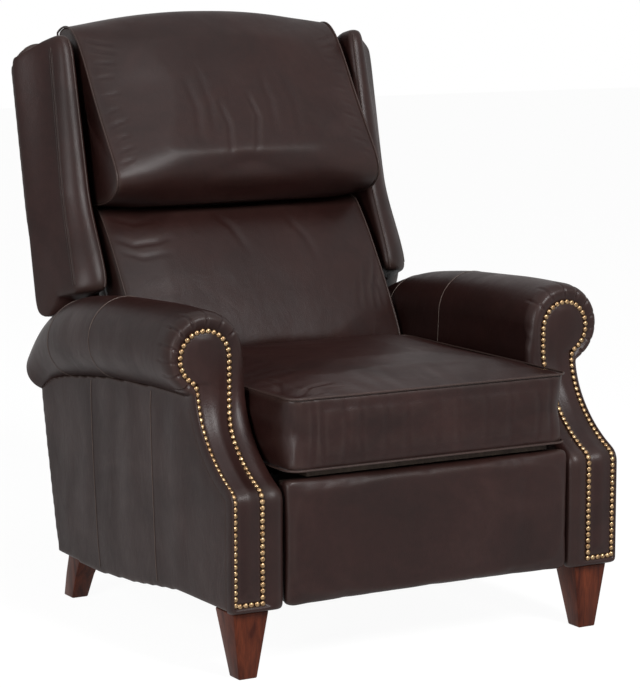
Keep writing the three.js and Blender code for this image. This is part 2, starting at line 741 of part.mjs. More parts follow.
function couplerBar() {
  const outer = couplerX + link.thickness;
  const plateBar = bar([rearKnee, frontKnee, footJoint], link.halfWidth, couplerX, outer);
  const hole = pin(footJoint, link.pinRadius + running, couplerX - overrun, outer + overrun);
  const pins = [rearKnee, frontKnee].map((p) => pin(p, link.pinRadius, couplerX, linkX + link.thickness));
  return union(cut(plateBar, hole), ...pins);
}

function footrestBracket() {
  const { thickness, flange, below, above, lip } = footBracket;
  const face = frontY + footBoard.inset + touch;
  const outer = footBracketX + thickness;
  const [bottom, top] = [footJoint.y - below, footJoint.y + above];
  return union(
    box(footBracketX, outer, face, face + lip, bottom, top),
    box(outer - flange, outer, face, face + thickness, bottom, top),
    pin(footJoint, link.pinRadius, footBracketX, couplerX + link.thickness),
  );
}

function addMechanism() {
  addPair(recliner, 'mechanism_plate', sidePlate(), steel);
  addPair(recliner, 'rear_link', linkBar(rearPivot, rearKnee), steel);
  addPair(recliner, 'front_link', linkBar(frontPivot, frontKnee), steel);
  addPair(recliner, 'coupler', couplerBar(), steel);
  const reach = linkX - touch;
  const { radius, sides } = torqueTube;
  addPiece(recliner, 'torque_tube', pin(rearPivot, radius, -reach, reach, sides), steel);
}

// Footrest

function addFootrest() {
  const { sideGap, bottom, topGap, ...pad } = footPad;
  const padHalf = insideX - sideGap;
  const padTop = seatRail.top - topGap;
  const boardHalf = padHalf - footBoard.margin;
  const back = frontY + footBoard.inset;
  const face = back - footBoard.thickness;
  addPiece(recliner, 'footrest_board', box(
    -boardHalf, boardHalf, face, back, bottom + footBoard.bottomMargin, padTop - footBoard.topMargin,
  ), hardwood);
  addPair(recliner, 'footrest_bracket', footrestBracket(), steel);
  addPiece(recliner, 'footrest_pad', cushionGeometry({
    ...pad, halfWidth: padHalf, halfDepth: (padTop - bottom) / 2, drawnIn: 0,
  }, (x, y, z) => new THREE.Vector3(x, face - touch - z, (padTop + bottom) / 2 + y)), leather);
}

// Seat

function addSeat() {
  const { top, height, thickness, depth } = seatRail;
  const bottom = top - height;
  const front = slideFront;
  const rear = seatRailRear;
  const inner = seatSideX - thickness;
  addPair(recliner, 'seat_side_rail', box(inner, seatSideX, front, rear, bottom, top), hardwood);
  const reach = inner - touch;
  addPiece(recliner, 'seat_front_rail', box(-reach, reach, front, front + depth, bottom, top), hardwood);
  addPiece(recliner, 'seat_rear_rail', box(-reach, reach, rear - depth, rear, bottom, top), hardwood);
  addPair(recliner, 'seat_slide_bar', box(
    seatSideX + touch, plateX - channel.wall - slideBar.play, slideFront, slideRear,
    slideBottom, slideBottom + slideBar.height,
  ), steel);
  const deckBottom = top + touch;
  const deckTop = deckBottom + seatDeck.thickness;
  const deckFront = seatCushion.front + seatDeck.frontInset;
  const deckRear = seatCushion.front + seatDeck.rearInset;
  addPiece(recliner, 'seat_front_deck', box(
    -seatSideX, seatSideX, deckFront, deckRear, deckBottom, deckTop,
  ), hardwood);
  const matFront = deckRear + touch;
  const mat = springMat(rear - matFront, seatSpring.count, seatSpring.spacing);
  mat.rotateZ(Math.PI / 2).translate(0, matFront, deckBottom);
  addPiece(recliner, 'seat_springs', mat, springSteel);

  const middle = (seatCushion.front + seatCushion.rear) / 2;
  const halfDepth = (seatCushion.rear - seatCushion.front) / 2;
  const place = (x, y, z) => new THREE.Vector3(x, middle + y, deckTop + touch + z);
  addPiece(recliner, 'seat_cushion', cushionGeometry({ ...seatCushion, halfDepth }, place), leather);
}

// Back

// The back's own frame: height of the base rear cover, of the shoulder, and the hinge of the back
const rearCoverEdge = upTheRake(rearCoverTop);
const shoulder = upTheRake(scrollZ + cover.shoulderRise);
const hingeInBack = new THREE.Vector3(0, backHinge.x, backHinge.y)
  .sub(backFrame.position).applyAxisAngle(new THREE.Vector3(1, 0, 0), base.rake);
const backFrameRear = -cover.thickness - touch;
const stileOuter = backBracketX - touch;
const crownSteps = [0.75, 0.5, 0.25]; // shares of the half-width, over the crown of the back
const cornerSteps = 5;

function coverOutline() {
  const bottom = rearCoverEdge + cover.bottomGap;
  const lowerHalf = insideX - cover.lowerInset;
  const edge = backHeight + cover.cornerRise;
  const crown = backHeight + cover.crownRise;
  const reach = outsideX - cover.cornerRadius;
  const corner = new THREE.EllipseCurve(
    reach, edge - cover.cornerRadius, cover.cornerRadius, cover.cornerRadius, 0, Math.PI / 2, false,
  );
  const right = [
    new THREE.Vector2(lowerHalf, bottom), new THREE.Vector2(lowerHalf, shoulder),
    new THREE.Vector2(outsideX, shoulder), ...corner.getPoints(cornerSteps),
  ];
  crownSteps.forEach((share) => {
    right.push(new THREE.Vector2(reach * share, edge + (crown - edge) * (1 - share * share)));
  });
  const left = right.map((p) => new THREE.Vector2(-p.x, p.y)).reverse();
  return [...right, new THREE.Vector2(0, crown), ...left];
}

// Side view of a wing in (y, z) of the back's frame
function wingSide() {
  const { bottomDip, rearRadius, frontRadius, bottomRadius, lip } = wing;
  const rear = backFrameRear;
  const top = backHeight;
  const bottomFront = shoulder - bottomDip;
  const topFront = -wingHead.lipDepth - lip;
  const lowFront = -wingFoot.lipDepth - lip;
  const shape = new THREE.Shape();
  shape.moveTo(rear, shoulder);
  shape.lineTo(rear, top - rearRadius);
  shape.quadraticCurveTo(rear, top, rear - rearRadius, top);
  shape.lineTo(topFront + frontRadius, top);
  shape.quadraticCurveTo(topFront, top, topFront, top - frontRadius);
  shape.lineTo(lowFront, bottomFront + bottomRadius);
  shape.quadraticCurveTo(lowFront, bottomFront, lowFront + bottomRadius, bottomFront + lip);
  return shape.getPoints(cornerSteps);
}

// One ring round the wing, at a share of its height
function wingRing(share, z) {
  const [low, high, along] = share < wingWaistShare
    ? [wingFoot, wingWaist, share / wingWaistShare]
    : [wingWaist, wingHead, (share - wingWaistShare) / (1 - wingWaistShare)];
  const between = (key) => low[key] + (high[key] - low[key]) * along;
  const seamX = outsideX - between('seamInset');
  const [seamY, lipY] = [-between('seamDepth'), -between('lipDepth')];
  const [innerX, lipX] = [insideX + wing.innerGap, insideX + wing.lipGap];
  const middle = (backFrameRear + seamY) / 2;
  return [
    [innerX, backFrameRear], [outsideX, backFrameRear], [(outsideX + seamX) / 2 + wing.belly, middle],
    [seamX, seamY], [(seamX + lipX) / 2, (seamY + lipY) / 2 - wing.lip], [lipX, lipY], [innerX, middle],
  ].map(([x, y]) => new THREE.Vector3(x, y, z));
}

const wingRingShares = [0, 0.14, 0.28, wingWaistShare, 0.6, 0.8, 1];

function wingGeometry() {
  const low = shoulder - wing.bottomDip - overrun;
  const high = backHeight + overrun;
  const rings = wingRingShares.map((share) => wingRing(share, low + (high - low) * share));
  return common(loft(rings), prismX(wingSide(), insideX - overrun, outsideX + overrun));
}

// A cushion that stands against the back, thicker or thinner towards its top
function standingCushion(size) {
  const { halfWidth, bottom, top, footDepth, topDepth, archedTop = 0, belly = 0 } = size;
  const rear = -springsFront - touch;
  const halfDepth = (top - bottom) / 2;
  const thickness = footDepth + rear;
  return cushionGeometry({ ...size, halfDepth, thickness }, (x, y, z) => {
    const share = (y + halfDepth) / (2 * halfDepth);
    const depth = footDepth + (topDepth - footDepth) * share + belly * Math.sin(Math.PI * share) + rear;
    const arch = archedTop * (1 - (x / halfWidth) ** 2) * share ** 3;
    return new THREE.Vector3(x, rear - z * depth / thickness, (top + bottom) / 2 + y + arch);
  });
}

function backBracketPlate() {
  const place = new THREE.Vector2(hingeInBack.y, hingeInBack.z);
  const outer = backBracketX + backBracket.thickness;
  const body = box(
    backBracketX, outer, place.x - backBracket.ahead, place.x + backBracket.behind,
    place.y - backBracket.below, place.y + backBracket.above,
  );
  const eye = pin(place, backPivot.eyeRadius, backBracketX, outer);
  const hole = pin(place, backPivot.pinRadius + running, backBracketX - overrun, outer + overrun);
  return cut(union(body, eye), hole);
}

const springsFront = -backFrameRear + stile.depth + touch + spring.wire;

function addBackFrame() {
  const rear = backFrameRear;
  const front = rear - stile.depth;
  const bottom = rearCoverEdge + cover.bottomGap + stile.bottomInset;
  const top = backHeight - stile.topInset;
  const inner = stileOuter - stile.width;
  addPair(backFrame, 'back_stile', box(inner, stileOuter, front, rear, bottom, top), hardwood);
  const reach = inner - touch;
  const lowerRail = bottom + backRail.lowerInset;
  const upperRail = top - backRail.upperInset - backRail.height;
  Object.entries({ back_lower_rail: lowerRail, back_upper_rail: upperRail }).forEach(([name, low]) => {
    addPiece(backFrame, name, box(-reach, reach, front, rear, low, low + backRail.height), hardwood);
  });
  const mat = springMat(2 * stileOuter, backSpring.count, backSpring.spacing);
  const middle = bottom + backSpring.rise + (backSpring.count - 1) / 2 * backSpring.spacing;
  mat.rotateX(Math.PI / 2).translate(-stileOuter, front - touch, middle);
  addPiece(backFrame, 'back_springs', mat, springSteel);
}

function addBack() {
  addPiece(backFrame, 'outside_back_cover', prismY(coverOutline(), -cover.thickness, 0), leather);
  addBackFrame();
  addPair(backFrame, 'back_bracket', backBracketPlate(), steel);
  addPair(backFrame, 'wing', wingGeometry(), leather);

  // the foot of the lumbar cushion stands just behind the seat cushion
  const bottom = hingeInBack.z + lumbar.hingeGap;
  const top = bottom + lumbar.height;
  const { rake, backRoom } = base;
  const footDepth = (backRoom - lumbar.seatGap + bottom * Math.sin(rake)) / Math.cos(rake);
  const { halfWidth } = seatCushion;
  addPiece(backFrame, 'lumbar_cushion', standingCushion({
    ...lumbar, halfWidth, bottom, top, footDepth,
  }), leather);
  addPiece(backFrame, 'head_pillow', standingCushion({
    ...headPillow,
    halfWidth: insideX - headPillow.sideGap,
    bottom: top + headPillow.gap,
    top: backHeight + headPillow.topRise,
  }), leather);
}

addArms();
addBaseFrame();
addLegs();
addMechanism();
addFootrest();
addSeat();
addBack();

export default recliner;
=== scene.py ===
"""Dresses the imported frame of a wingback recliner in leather, brass nail heads and stained wood."""

import functools
import math

import bmesh
import bpy
from bpy.props import FloatProperty, FloatVectorProperty, PointerProperty
from mathutils import Matrix, Vector


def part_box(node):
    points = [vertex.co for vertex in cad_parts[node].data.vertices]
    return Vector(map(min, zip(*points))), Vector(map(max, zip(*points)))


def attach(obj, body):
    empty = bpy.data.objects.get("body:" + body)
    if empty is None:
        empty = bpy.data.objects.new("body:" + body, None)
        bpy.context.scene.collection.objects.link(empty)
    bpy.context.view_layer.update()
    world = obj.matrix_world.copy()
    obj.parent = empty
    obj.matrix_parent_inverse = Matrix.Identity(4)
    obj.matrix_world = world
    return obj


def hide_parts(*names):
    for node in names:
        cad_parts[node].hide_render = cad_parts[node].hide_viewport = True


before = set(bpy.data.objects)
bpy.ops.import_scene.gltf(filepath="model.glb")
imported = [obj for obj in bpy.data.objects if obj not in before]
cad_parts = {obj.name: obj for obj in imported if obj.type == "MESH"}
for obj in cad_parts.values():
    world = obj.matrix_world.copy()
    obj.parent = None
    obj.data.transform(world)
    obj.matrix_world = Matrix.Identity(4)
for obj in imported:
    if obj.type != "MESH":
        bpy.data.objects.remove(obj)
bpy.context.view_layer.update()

bl_info = {
    "name": "Wingback recliner",
    "version": (1, 0, 0),
    "blender": (4, 5, 0),
    "location": "View3D > Sidebar > Recliner",
    "description": "Dresses a recliner frame in leather, brass nail heads and stained wood",
    "category": "Object",
}

MM = 0.001
TINY = 1e-9  # keeps a quotient from having nothing under it
SIDES = (("left", 1), ("right", -1))  # the sitter's left is +X

# Lines of the frame
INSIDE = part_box("arm_inside_panel_left")[0].x
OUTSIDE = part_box("arm_outside_panel_left")[1].x
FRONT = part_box("arm_front_border_left")[0].y
REAR_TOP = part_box("base_rear_cover")[1]
REAR_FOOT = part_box("base_rear_cover")[0].z
RAKE = math.radians(12)
REAR_Y = REAR_TOP.y - (REAR_TOP.z - REAR_FOOT) * math.tan(RAKE)
BACK = Matrix.Translation((0, REAR_Y, REAR_FOOT)) @ Matrix.Rotation(-RAKE, 4, "X")
BACK_INVERSE = BACK.inverted()
REARWARDS = (BACK.to_3x3() @ Vector((0, 1, 0))).normalized()  # square to the back

# Arm front, as in the frame
ARM_BOTTOM = 116 * MM
KNEE_START, KNEE_RADIUS, KNEE_SLOPE = 300 * MM, 24 * MM, math.radians(25)
NECK_Y, NECK_Z = FRONT + 130 * MM, 482 * MM
SWEEP_LOW, SWEEP_HIGH = 45 * MM, 85 * MM  # pull of the knee and of the neck on the curve between them
SCROLL_X, SCROLL_Z, SCROLL_RADIUS = SCROLL = OUTSIDE - 26 * MM, 528 * MM, 73.4 * MM
BORDER_DEPTH = 12.3 * MM
BORDER_TUCK = 3.4 * MM  # the border's rim lies this far out from the arm front
SCROLL_TURN = 11 * MM  # how much deeper the border turns round the scroll
NAIL_ARCH = (SCROLL_X + 2 * MM, SCROLL_Z - 5 * MM, 46 * MM)
NAIL_INNER, NAIL_OUTER, NAIL_BOTTOM = INSIDE + 42 * MM, OUTSIDE - 9 * MM, ARM_BOTTOM + 15 * MM
NAIL_NECK = NECK_Z - 82 * MM  # below this height the nails run straight

# share of the arm pad's length, share of its drop
DROP_SHARES = (
    (0, 0), (0.17, 0), (0.466, 0.073), (0.595, 0.148), (0.757, 0.26), (0.87, 0.41), (0.945, 0.7), (1, 1),
)
ROLL_DROP = 122 * MM
ROLL_SLIM, ROLL_SLIM_START = 24 * MM, 110 * MM  # the pad gets slimmer towards its rear end
ARM_LINE = 60 * MM  # height in which the scroll's inner side runs into the arm's inside


def rear_at(z):
    """The rear plane at a height."""
    return REAR_Y + (z - REAR_FOOT) * math.tan(RAKE)


def ease(t):
    """A smooth step from 0 to 1."""
    t = max(0.0, min(1.0, t))
    return t * t * (3 - 2 * t)


def along(table, t):
    """The value at t in a table of places and values."""
    for (t0, v0), (t1, v1) in zip(table, table[1:]):
        if t <= t1:
            return v0 + (v1 - v0) * max(0.0, t - t0) / (t1 - t0)
    return table[-1][1]


def bend(a, pull_a, pull_b, b, t):
    """The value at t of a curve from a to b that is pulled towards two others."""
    s = 1 - t
    return s**3 * a + 3 * s * s * t * pull_a + 3 * s * t * t * pull_b + t**3 * b


ROLL_FRONT = NECK_Y + BORDER_DEPTH
ROLL_REAR = rear_at(SCROLL_Z) + 20 * MM


def roll_drop(y):
    """How far the arm pad has dropped at a place along it, softened between the table's places."""
    share = (y - ROLL_FRONT) / (ROLL_REAR - ROLL_FRONT)
    near = [along(DROP_SHARES, share + step) for step in (-0.04, -0.02, 0, 0.02, 0.04)]
    return ROLL_DROP * sum(near) / len(near)


def front_profile():
    """Points (y, z) up the face of an arm front: straight, a knee, a sweep, straight."""
    knee_steps, sweep_steps = 8, 24
    turn = math.pi / 2 + KNEE_SLOPE
    centre = Vector((FRONT + KNEE_RADIUS, KNEE_START))
    points = [Vector((FRONT, z)) for z in (40 * MM, 200 * MM, KNEE_START)]
    for i in range(1, knee_steps + 1):
        a = math.pi + (turn - math.pi) * i / knee_steps
        points.append(centre + KNEE_RADIUS * Vector((math.cos(a), math.sin(a))))
    knee = points[-1].copy()
    pull = knee + SWEEP_LOW * Vector((math.cos(KNEE_SLOPE), math.sin(KNEE_SLOPE)))
    high = Vector((NECK_Y, NECK_Z - SWEEP_HIGH))
    neck = Vector((NECK_Y, NECK_Z))
    points += [bend(knee, pull, high, neck, i / sweep_steps) for i in range(1, sweep_steps + 1)]
    return points + [Vector((NECK_Y, z)) for z in (560 * MM, 700 * MM)]


PROFILE = front_profile()


@functools.lru_cache(maxsize=None)
def front_table(inset):
    """The arm front's face (height, y), moved into the arm by an inset."""
    moved = []
    for i, p in enumerate(PROFILE):
        a, b = PROFILE[max(0, i - 1)], PROFILE[min(len(PROFILE) - 1, i + 1)]
        way = (b - a).normalized()
        moved.append((p.y - way.x * inset, p.x + way.y * inset))
    return moved


def front_at(z, inset=0.0):
    """Place (y) of the arm front's face at a height, moved into the arm by an inset."""
    return along(front_table(round(inset, 5)), z)


def smoothed(points, rounds, above=0.0):
    """A closed line of points (x, z) with its corners rounded, above a height."""
    count = len(points)
    for _ in range(rounds):
        near = [(points[i - 1] + 2 * points[i] + points[(i + 1) % count]) / 4 for i in range(count)]
        points = [n if p.y > above else p for p, n in zip(points, near)]
    return points


def stretch(a, b, count):
    """Even points from a up to, not counting, b."""
    return [a.lerp(b, i / count) for i in range(count)]


def denser(points, step):
    """A closed line with points added so that none is further than a step from the next."""
    made = []
    for i, p in enumerate(points):
        q = points[(i + 1) % len(points)]
        made += stretch(p, q, max(1, math.ceil((q - p).length / step)))
    return made


def lengths(line):
    """How far along a line each of its points is."""
    marks = [0.0]
    for a, b in zip(line, line[1:]):
        marks.append(marks[-1] + (b - a).length)
    return marks


def spots(line, marks, places):
    """Points of a line at rising distances along it."""
    made, at = [], 0
    for place in places:
        while marks[at + 1] < place:
            at += 1
        made.append(line[at].lerp(line[at + 1], (place - marks[at]) / max(marks[at + 1] - marks[at], TINY)))
    return made


ARC_STEPS = 110
BOTTOM_STEPS, OUTER_STEPS, FOOT_STEPS, NECK_STEPS, INNER_STEPS = 14, 80, 8, 12, 70
ARC_START = BOTTOM_STEPS + OUTER_STEPS  # index of the scroll's first point


def scroll_angles(outer, arch, count):
    """Even angles round a scroll, from the outside of the arm to its inner end."""
    x, _, radius = arch
    start = -math.acos((outer - x) / radius)
    return [start + (math.pi - start) * i / count for i in range(count + 1)]


def scroll_outline(inner, outer, bottom, arch, foot, straight):
    """Front view (x, z) of the arm: two straight sides with a scroll on top, in fixed counts of points."""
    x, z, radius = arch
    arc = [
        Vector((x + radius * math.cos(a), z + radius * math.sin(a))) for a in scroll_angles(outer, arch, ARC_STEPS)
    ]
    points = stretch(Vector((inner, bottom)), Vector((outer, bottom)), BOTTOM_STEPS)
    points += stretch(Vector((outer, bottom)), arc[0], OUTER_STEPS)
    points += arc
    points += stretch(arc[-1], Vector((x - radius, foot)), FOOT_STEPS)
    points += stretch(Vector((x - radius, foot)), Vector((inner, straight)), NECK_STEPS)
    points += stretch(Vector((inner, straight)), Vector((inner, bottom)), INNER_STEPS)
    return points


def nail_outline():
    """The line of the nail heads."""
    line = scroll_outline(NAIL_INNER, NAIL_OUTER, NAIL_BOTTOM, NAIL_ARCH, NECK_Z - 17 * MM, NAIL_NECK)
    return smoothed(line, 16, above=NAIL_NECK - 13 * MM)


def border_outline():
    """The outer line of the padded border."""
    line = scroll_outline(INSIDE, OUTSIDE, ARM_BOTTOM, SCROLL, SCROLL_Z - 19 * MM, SCROLL_Z - 38 * MM)
    return smoothed(line, 2)


# Meshes

JOIN = 0.01 * MM  # points nearer than this are one
MOST_POINTS = 100000  # more than any one piece has
FRAMES = 13  # length of a cushion's filling, in frames


def skin(rings, closed=True, caps=True):
    """A skin through rings of equal counts, made by extruding the first ring from one to the next."""
    bm = bmesh.new()
    row = [bm.verts.new(p) for p in rings[0]]
    count = len(row)
    spans = count if closed else count - 1
    edges = [bm.edges.new((row[i], row[(i + 1) % count])) for i in range(spans)]
    first = edges
    for ring in rings[1:]:
        made = bmesh.ops.extrude_edge_only(bm, edges=edges)["geom"]
        fresh = {v for v in made if isinstance(v, bmesh.types.BMVert)}
        row = [next(e.other_vert(v) for e in v.link_edges if e.other_vert(v) in fresh) for v in row]
        for v, p in zip(row, ring):
            v.co = p
        edges = [e for e in made if isinstance(e, bmesh.types.BMEdge) and set(e.verts) <= fresh]
    if caps and closed:
        for loop in (first, edges):
            bmesh.ops.contextual_create(bm, geom=loop)
    return bm


def new_object(name, mesh):
    """An object in the scene that shows a mesh."""
    obj = bpy.data.objects.new(name, mesh)
    bpy.context.scene.collection.objects.link(obj)
    return obj


def rank(element):
    """A number that orders edges and faces by their points, so that each run gives the same order."""
    number = 0
    for index in sorted(v.index for v in element.verts)[:3]:
        number = number * MOST_POINTS + index
    return number


def from_bmesh(name, bm):
    """An object made of a bmesh, with its edges and faces in order and its faces turned outwards."""
    bm.verts.index_update()
    bm.edges.sort(key=rank)
    bm.faces.sort(key=rank)
    bmesh.ops.recalc_face_normals(bm, faces=bm.faces[:])
    mesh = bpy.data.meshes.new(name)
    bm.to_mesh(mesh)
    bm.free()
    return new_object(name, mesh)


def finish_piece(obj, body, material, replaced=(), slot="leather", levels=0, fill=None, crisp=None):
    """Gives a piece its shading, material and body, and hides the nodes that it stands for; its slot is not used.
    """
    mesh = obj.data
    mesh.materials.clear()
    mesh.materials.append(material)
    mesh.shade_smooth()
    if crisp:
        mesh.set_sharp_from_angle(angle=math.radians(crisp))
    if levels:
        soften(obj, levels)
    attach(obj, body)
    if replaced:
        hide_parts(*replaced)


def both_sides(name, bm, body, material, replaced=(), **rest):
    """The piece on the left, and its mirror image on the right."""
    for side, sign in SIDES:
        copy = bm.copy()
        bmesh.ops.scale(copy, vec=(sign, 1, 1), verts=copy.verts)
        obj = from_bmesh(f"{name}_{side}", copy)
        finish_piece(obj, body, material, [f"{node}_{side}" for node in replaced], **rest)
    bm.free()


def applied(obj):
    """The object with its modifiers made part of its mesh."""
    graph = bpy.context.evaluated_depsgraph_get()
    graph.update()
    mesh = bpy.data.meshes.new_from_object(obj.evaluated_get(graph))
    obj.modifiers.clear()
    old, obj.data = obj.data, mesh
    bpy.data.meshes.remove(old)
    return obj


def node_bmesh(node):
    """A copy of a frame node with its loose triangles joined."""
    bm = bmesh.new()
    bm.from_mesh(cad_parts[node].data)
    bmesh.ops.remove_doubles(bm, verts=bm.verts, dist=JOIN)
    return bm


def remeshed(name, node, voxel, rounds=0, shrink=0.0):
    """A copy of a frame node with even faces, drawn in by a little and smoothed."""
    obj = from_bmesh(name, node_bmesh(node))
    even = obj.modifiers.new("even", "REMESH")
    even.mode = "VOXEL"
    even.voxel_size = voxel
    applied(obj)
    if shrink:
        reshape(obj, lambda co, normal: co - normal * shrink)
    if rounds:
        bm = bmesh.new()
        bm.from_mesh(obj.data)
        for _ in range(rounds):
            bmesh.ops.smooth_vert(bm, verts=bm.verts, factor=0.5, use_axis_x=True, use_axis_y=True, use_axis_z=True)
        bm.to_mesh(obj.data)
        bm.free()
        obj.data.update()
    return obj


def reshape(obj, move):
    """Moves each point of a mesh by a function of its place and normal."""
    mesh = obj.data
    moves = [move(v.co.copy(), v.normal.copy()) for v in mesh.vertices]
    for v, co in zip(mesh.vertices, moves):
        v.co = co
    mesh.update()


def plump(obj, held, cap, pressure=4.0, slack=0.02, calm=3):
    """Fills a cushion with air between its held seams, smooths what the air did for a few calm rounds,
    and keeps each point within a cap of its start."""
    start = [v.co.copy() for v in obj.data.vertices]
    group = obj.vertex_groups.new(name="seams")
    for i, co in enumerate(start):
        weight = held(co)
        if weight > 0:
            group.add([i], weight, "REPLACE")
    cloth = obj.modifiers.new("fill", "CLOTH")
    settings = cloth.settings
    settings.quality = 5
    settings.use_pressure = True
    settings.uniform_pressure_force = pressure
    settings.effector_weights.gravity = 0
    settings.vertex_group_mass = "seams"
    settings.shrink_min = -slack
    settings.tension_stiffness = settings.compression_stiffness = 20
    settings.shear_stiffness = 8
    settings.bending_stiffness = 1.5
    cloth.collision_settings.use_collision = False
    cloth.point_cache.frame_start, cloth.point_cache.frame_end = 1, FRAMES
    scene = bpy.context.scene
    for number in range(1, FRAMES + 1):
        scene.frame_set(number)
    applied(obj)
    scene.frame_set(1)
    steps = [v.co - a for v, a in zip(obj.data.vertices, start)]
    near = [[] for _ in steps]
    for edge in obj.data.edges:
        a, b = edge.vertices
        near[a].append(b)
        near[b].append(a)
    for _ in range(calm):
        steps = [(step + sum((steps[j] for j in js), Vector())) / (1 + len(js)) for step, js in zip(steps, near)]
    for v, a, step in zip(obj.data.vertices, start, steps):
        share = (1 - held(a)) * min(1.0, cap / max(step.length, TINY))
        v.co = a + step * share
    obj.vertex_groups.clear()
    obj.data.update()


def soften(obj, levels=1):
    """Rounds a mesh with a live subdivision modifier."""
    soft = obj.modifiers.new("soft", "SUBSURF")
    soft.levels = soft.render_levels = levels
    return obj


def nearest_on(path, p):
    """Distance from p to a path of 2-D points, and how far along it, as a share."""
    best, where = math.inf, 0.0
    count = len(path) - 1
    for i in range(count):
        a, b = path[i], path[i + 1]
        way = b - a
        t = max(0.0, min(1.0, (p - a).dot(way) / max(way.length_squared, TINY**2)))
        d = (a + way * t - p).length
        if d < best:
            best, where = d, (i + t) / count
    return best, where


def crease(obj, flat, facing, folds):
    """Presses folds into a mesh. flat gives a point's place on a plan, facing picks the points that show,
    and each fold is a path on that plan with a width and a depth."""
    paths = [([Vector(p) * MM for p in path], width * MM, depth * MM) for path, width, depth in folds]
    boxes = []
    for path, width, _ in paths:
        xs, ys = [p.x for p in path], [p.y for p in path]
        reach = 4 * width
        boxes.append((min(xs) - reach, max(xs) + reach, min(ys) - reach, max(ys) + reach))

    def move(co, normal):
        if not facing(co, normal):
            return co
        p = flat(co)
        push = 0.0
        for (path, width, depth), (x0, x1, y0, y1) in zip(paths, boxes):
            if x0 < p.x < x1 and y0 < p.y < y1:
                d, where = nearest_on(path, p)
                fade = math.sin(math.pi * min(1.0, max(0.0, where * 0.9 + 0.05))) ** 0.7
                near = (d / width) ** 2
                push += depth * fade * (0.7 * near - 1) * math.exp(-near)
        return co + normal * push

    reshape(obj, move)


def tube(name, paths, radius, body, material, closed=False, sides=2):
    """Round trim along paths: a welt, a seam or stitches."""
    curve = bpy.data.curves.new(name, "CURVE")
    curve.dimensions = "3D"
    curve.bevel_depth = radius
    curve.bevel_resolution = sides
    curve.use_fill_caps = not closed
    for path in paths:
        spline = curve.splines.new("POLY")
        spline.points.add(len(path) - 1)
        for point, co in zip(spline.points, path):
            point.co = (*co, 1)
        spline.use_cyclic_u = closed
    made = new_object(f"{name}_line", curve)
    mesh = bpy.data.meshes.new_from_object(made)
    bpy.data.objects.remove(made)
    bpy.data.curves.remove(curve)
    mesh.name = name
    finish_piece(new_object(name, mesh), body, material)


def both_tubes(body, *trims):
    """Trim on the left, and its mirror image on the right: names, paths, radii, materials and roundness."""
    for side, sign in SIDES:
        for name, paths, radius, material, sides in trims:
            turned = [[Vector((p.x * sign, p.y, p.z)) for p in path] for path in paths]
            tube(f"{name}_{side}", turned, radius, body, material, sides=sides)


def dashes(path, length, gap):
    """Short pieces of a path, as stitches."""
    marks = lengths(path)
    pitch = length + gap
    starts = [k * pitch for k in range(int(marks[-1] / pitch))]
    ends = spots(path, marks, [place for start in starts for place in (start, start + length)])
    return [[a, b] for a, b in zip(ends[::2], ends[1::2])]


# Materials


def nodes_of(name):
    """A new material, its tree, its shader and the place on the piece that its patterns read."""
    material = bpy.data.materials.new(name)
    material.use_nodes = True
    tree = material.node_tree
    shader = tree.nodes["Principled BSDF"]
    place = tree.nodes.new("ShaderNodeTexCoord")
    return material, tree, shader, place.outputs["Object"]


def add_node(tree, kind, links=None, **values):
    """A node with its settings, its socket values and its links."""
    node = tree.nodes.new(f"ShaderNode{kind}")
    for key, value in values.items():
        if hasattr(node, key):
            setattr(node, key, value)
        else:
            node.inputs[key.replace("_", " ")].default_value = value
    for key, source in (links or {}).items():
        tree.links.new(source, node.inputs[key])
    return node


def pattern(tree, place, kind, scale, size=(1, 1, 1), **values):
    """A texture of a given scale, stretched by size."""
    mapping = add_node(tree, "Mapping", {"Vector": place})
    mapping.inputs["Scale"].default_value = size
    return add_node(tree, kind, {"Vector": mapping.outputs["Vector"]}, Scale=scale, **values)


def ramp(tree, source, stops):
    """Values or colours set out along a source."""
    node = add_node(tree, "ValToRGB", {"Fac": source})
    elements = node.color_ramp.elements
    while len(elements) < len(stops):
        elements.new(0.5)
    for element, (place, colour) in zip(elements, stops):
        element.position = place
        element.color = (*colour, 1) if hasattr(colour, "__len__") else (colour, colour, colour, 1)
    return node.outputs["Color"]


def bumps(tree, shader, layers):
    """Adds bump layers, each a height and a depth in metres, one over the other."""
    last = None
    for height, depth in layers:
        node = add_node(tree, "Bump", {"Height": height}, Distance=depth)
        if last:
            tree.links.new(last.outputs["Normal"], node.inputs["Normal"])
        last = node
    tree.links.new(last.outputs["Normal"], shader.inputs["Normal"])


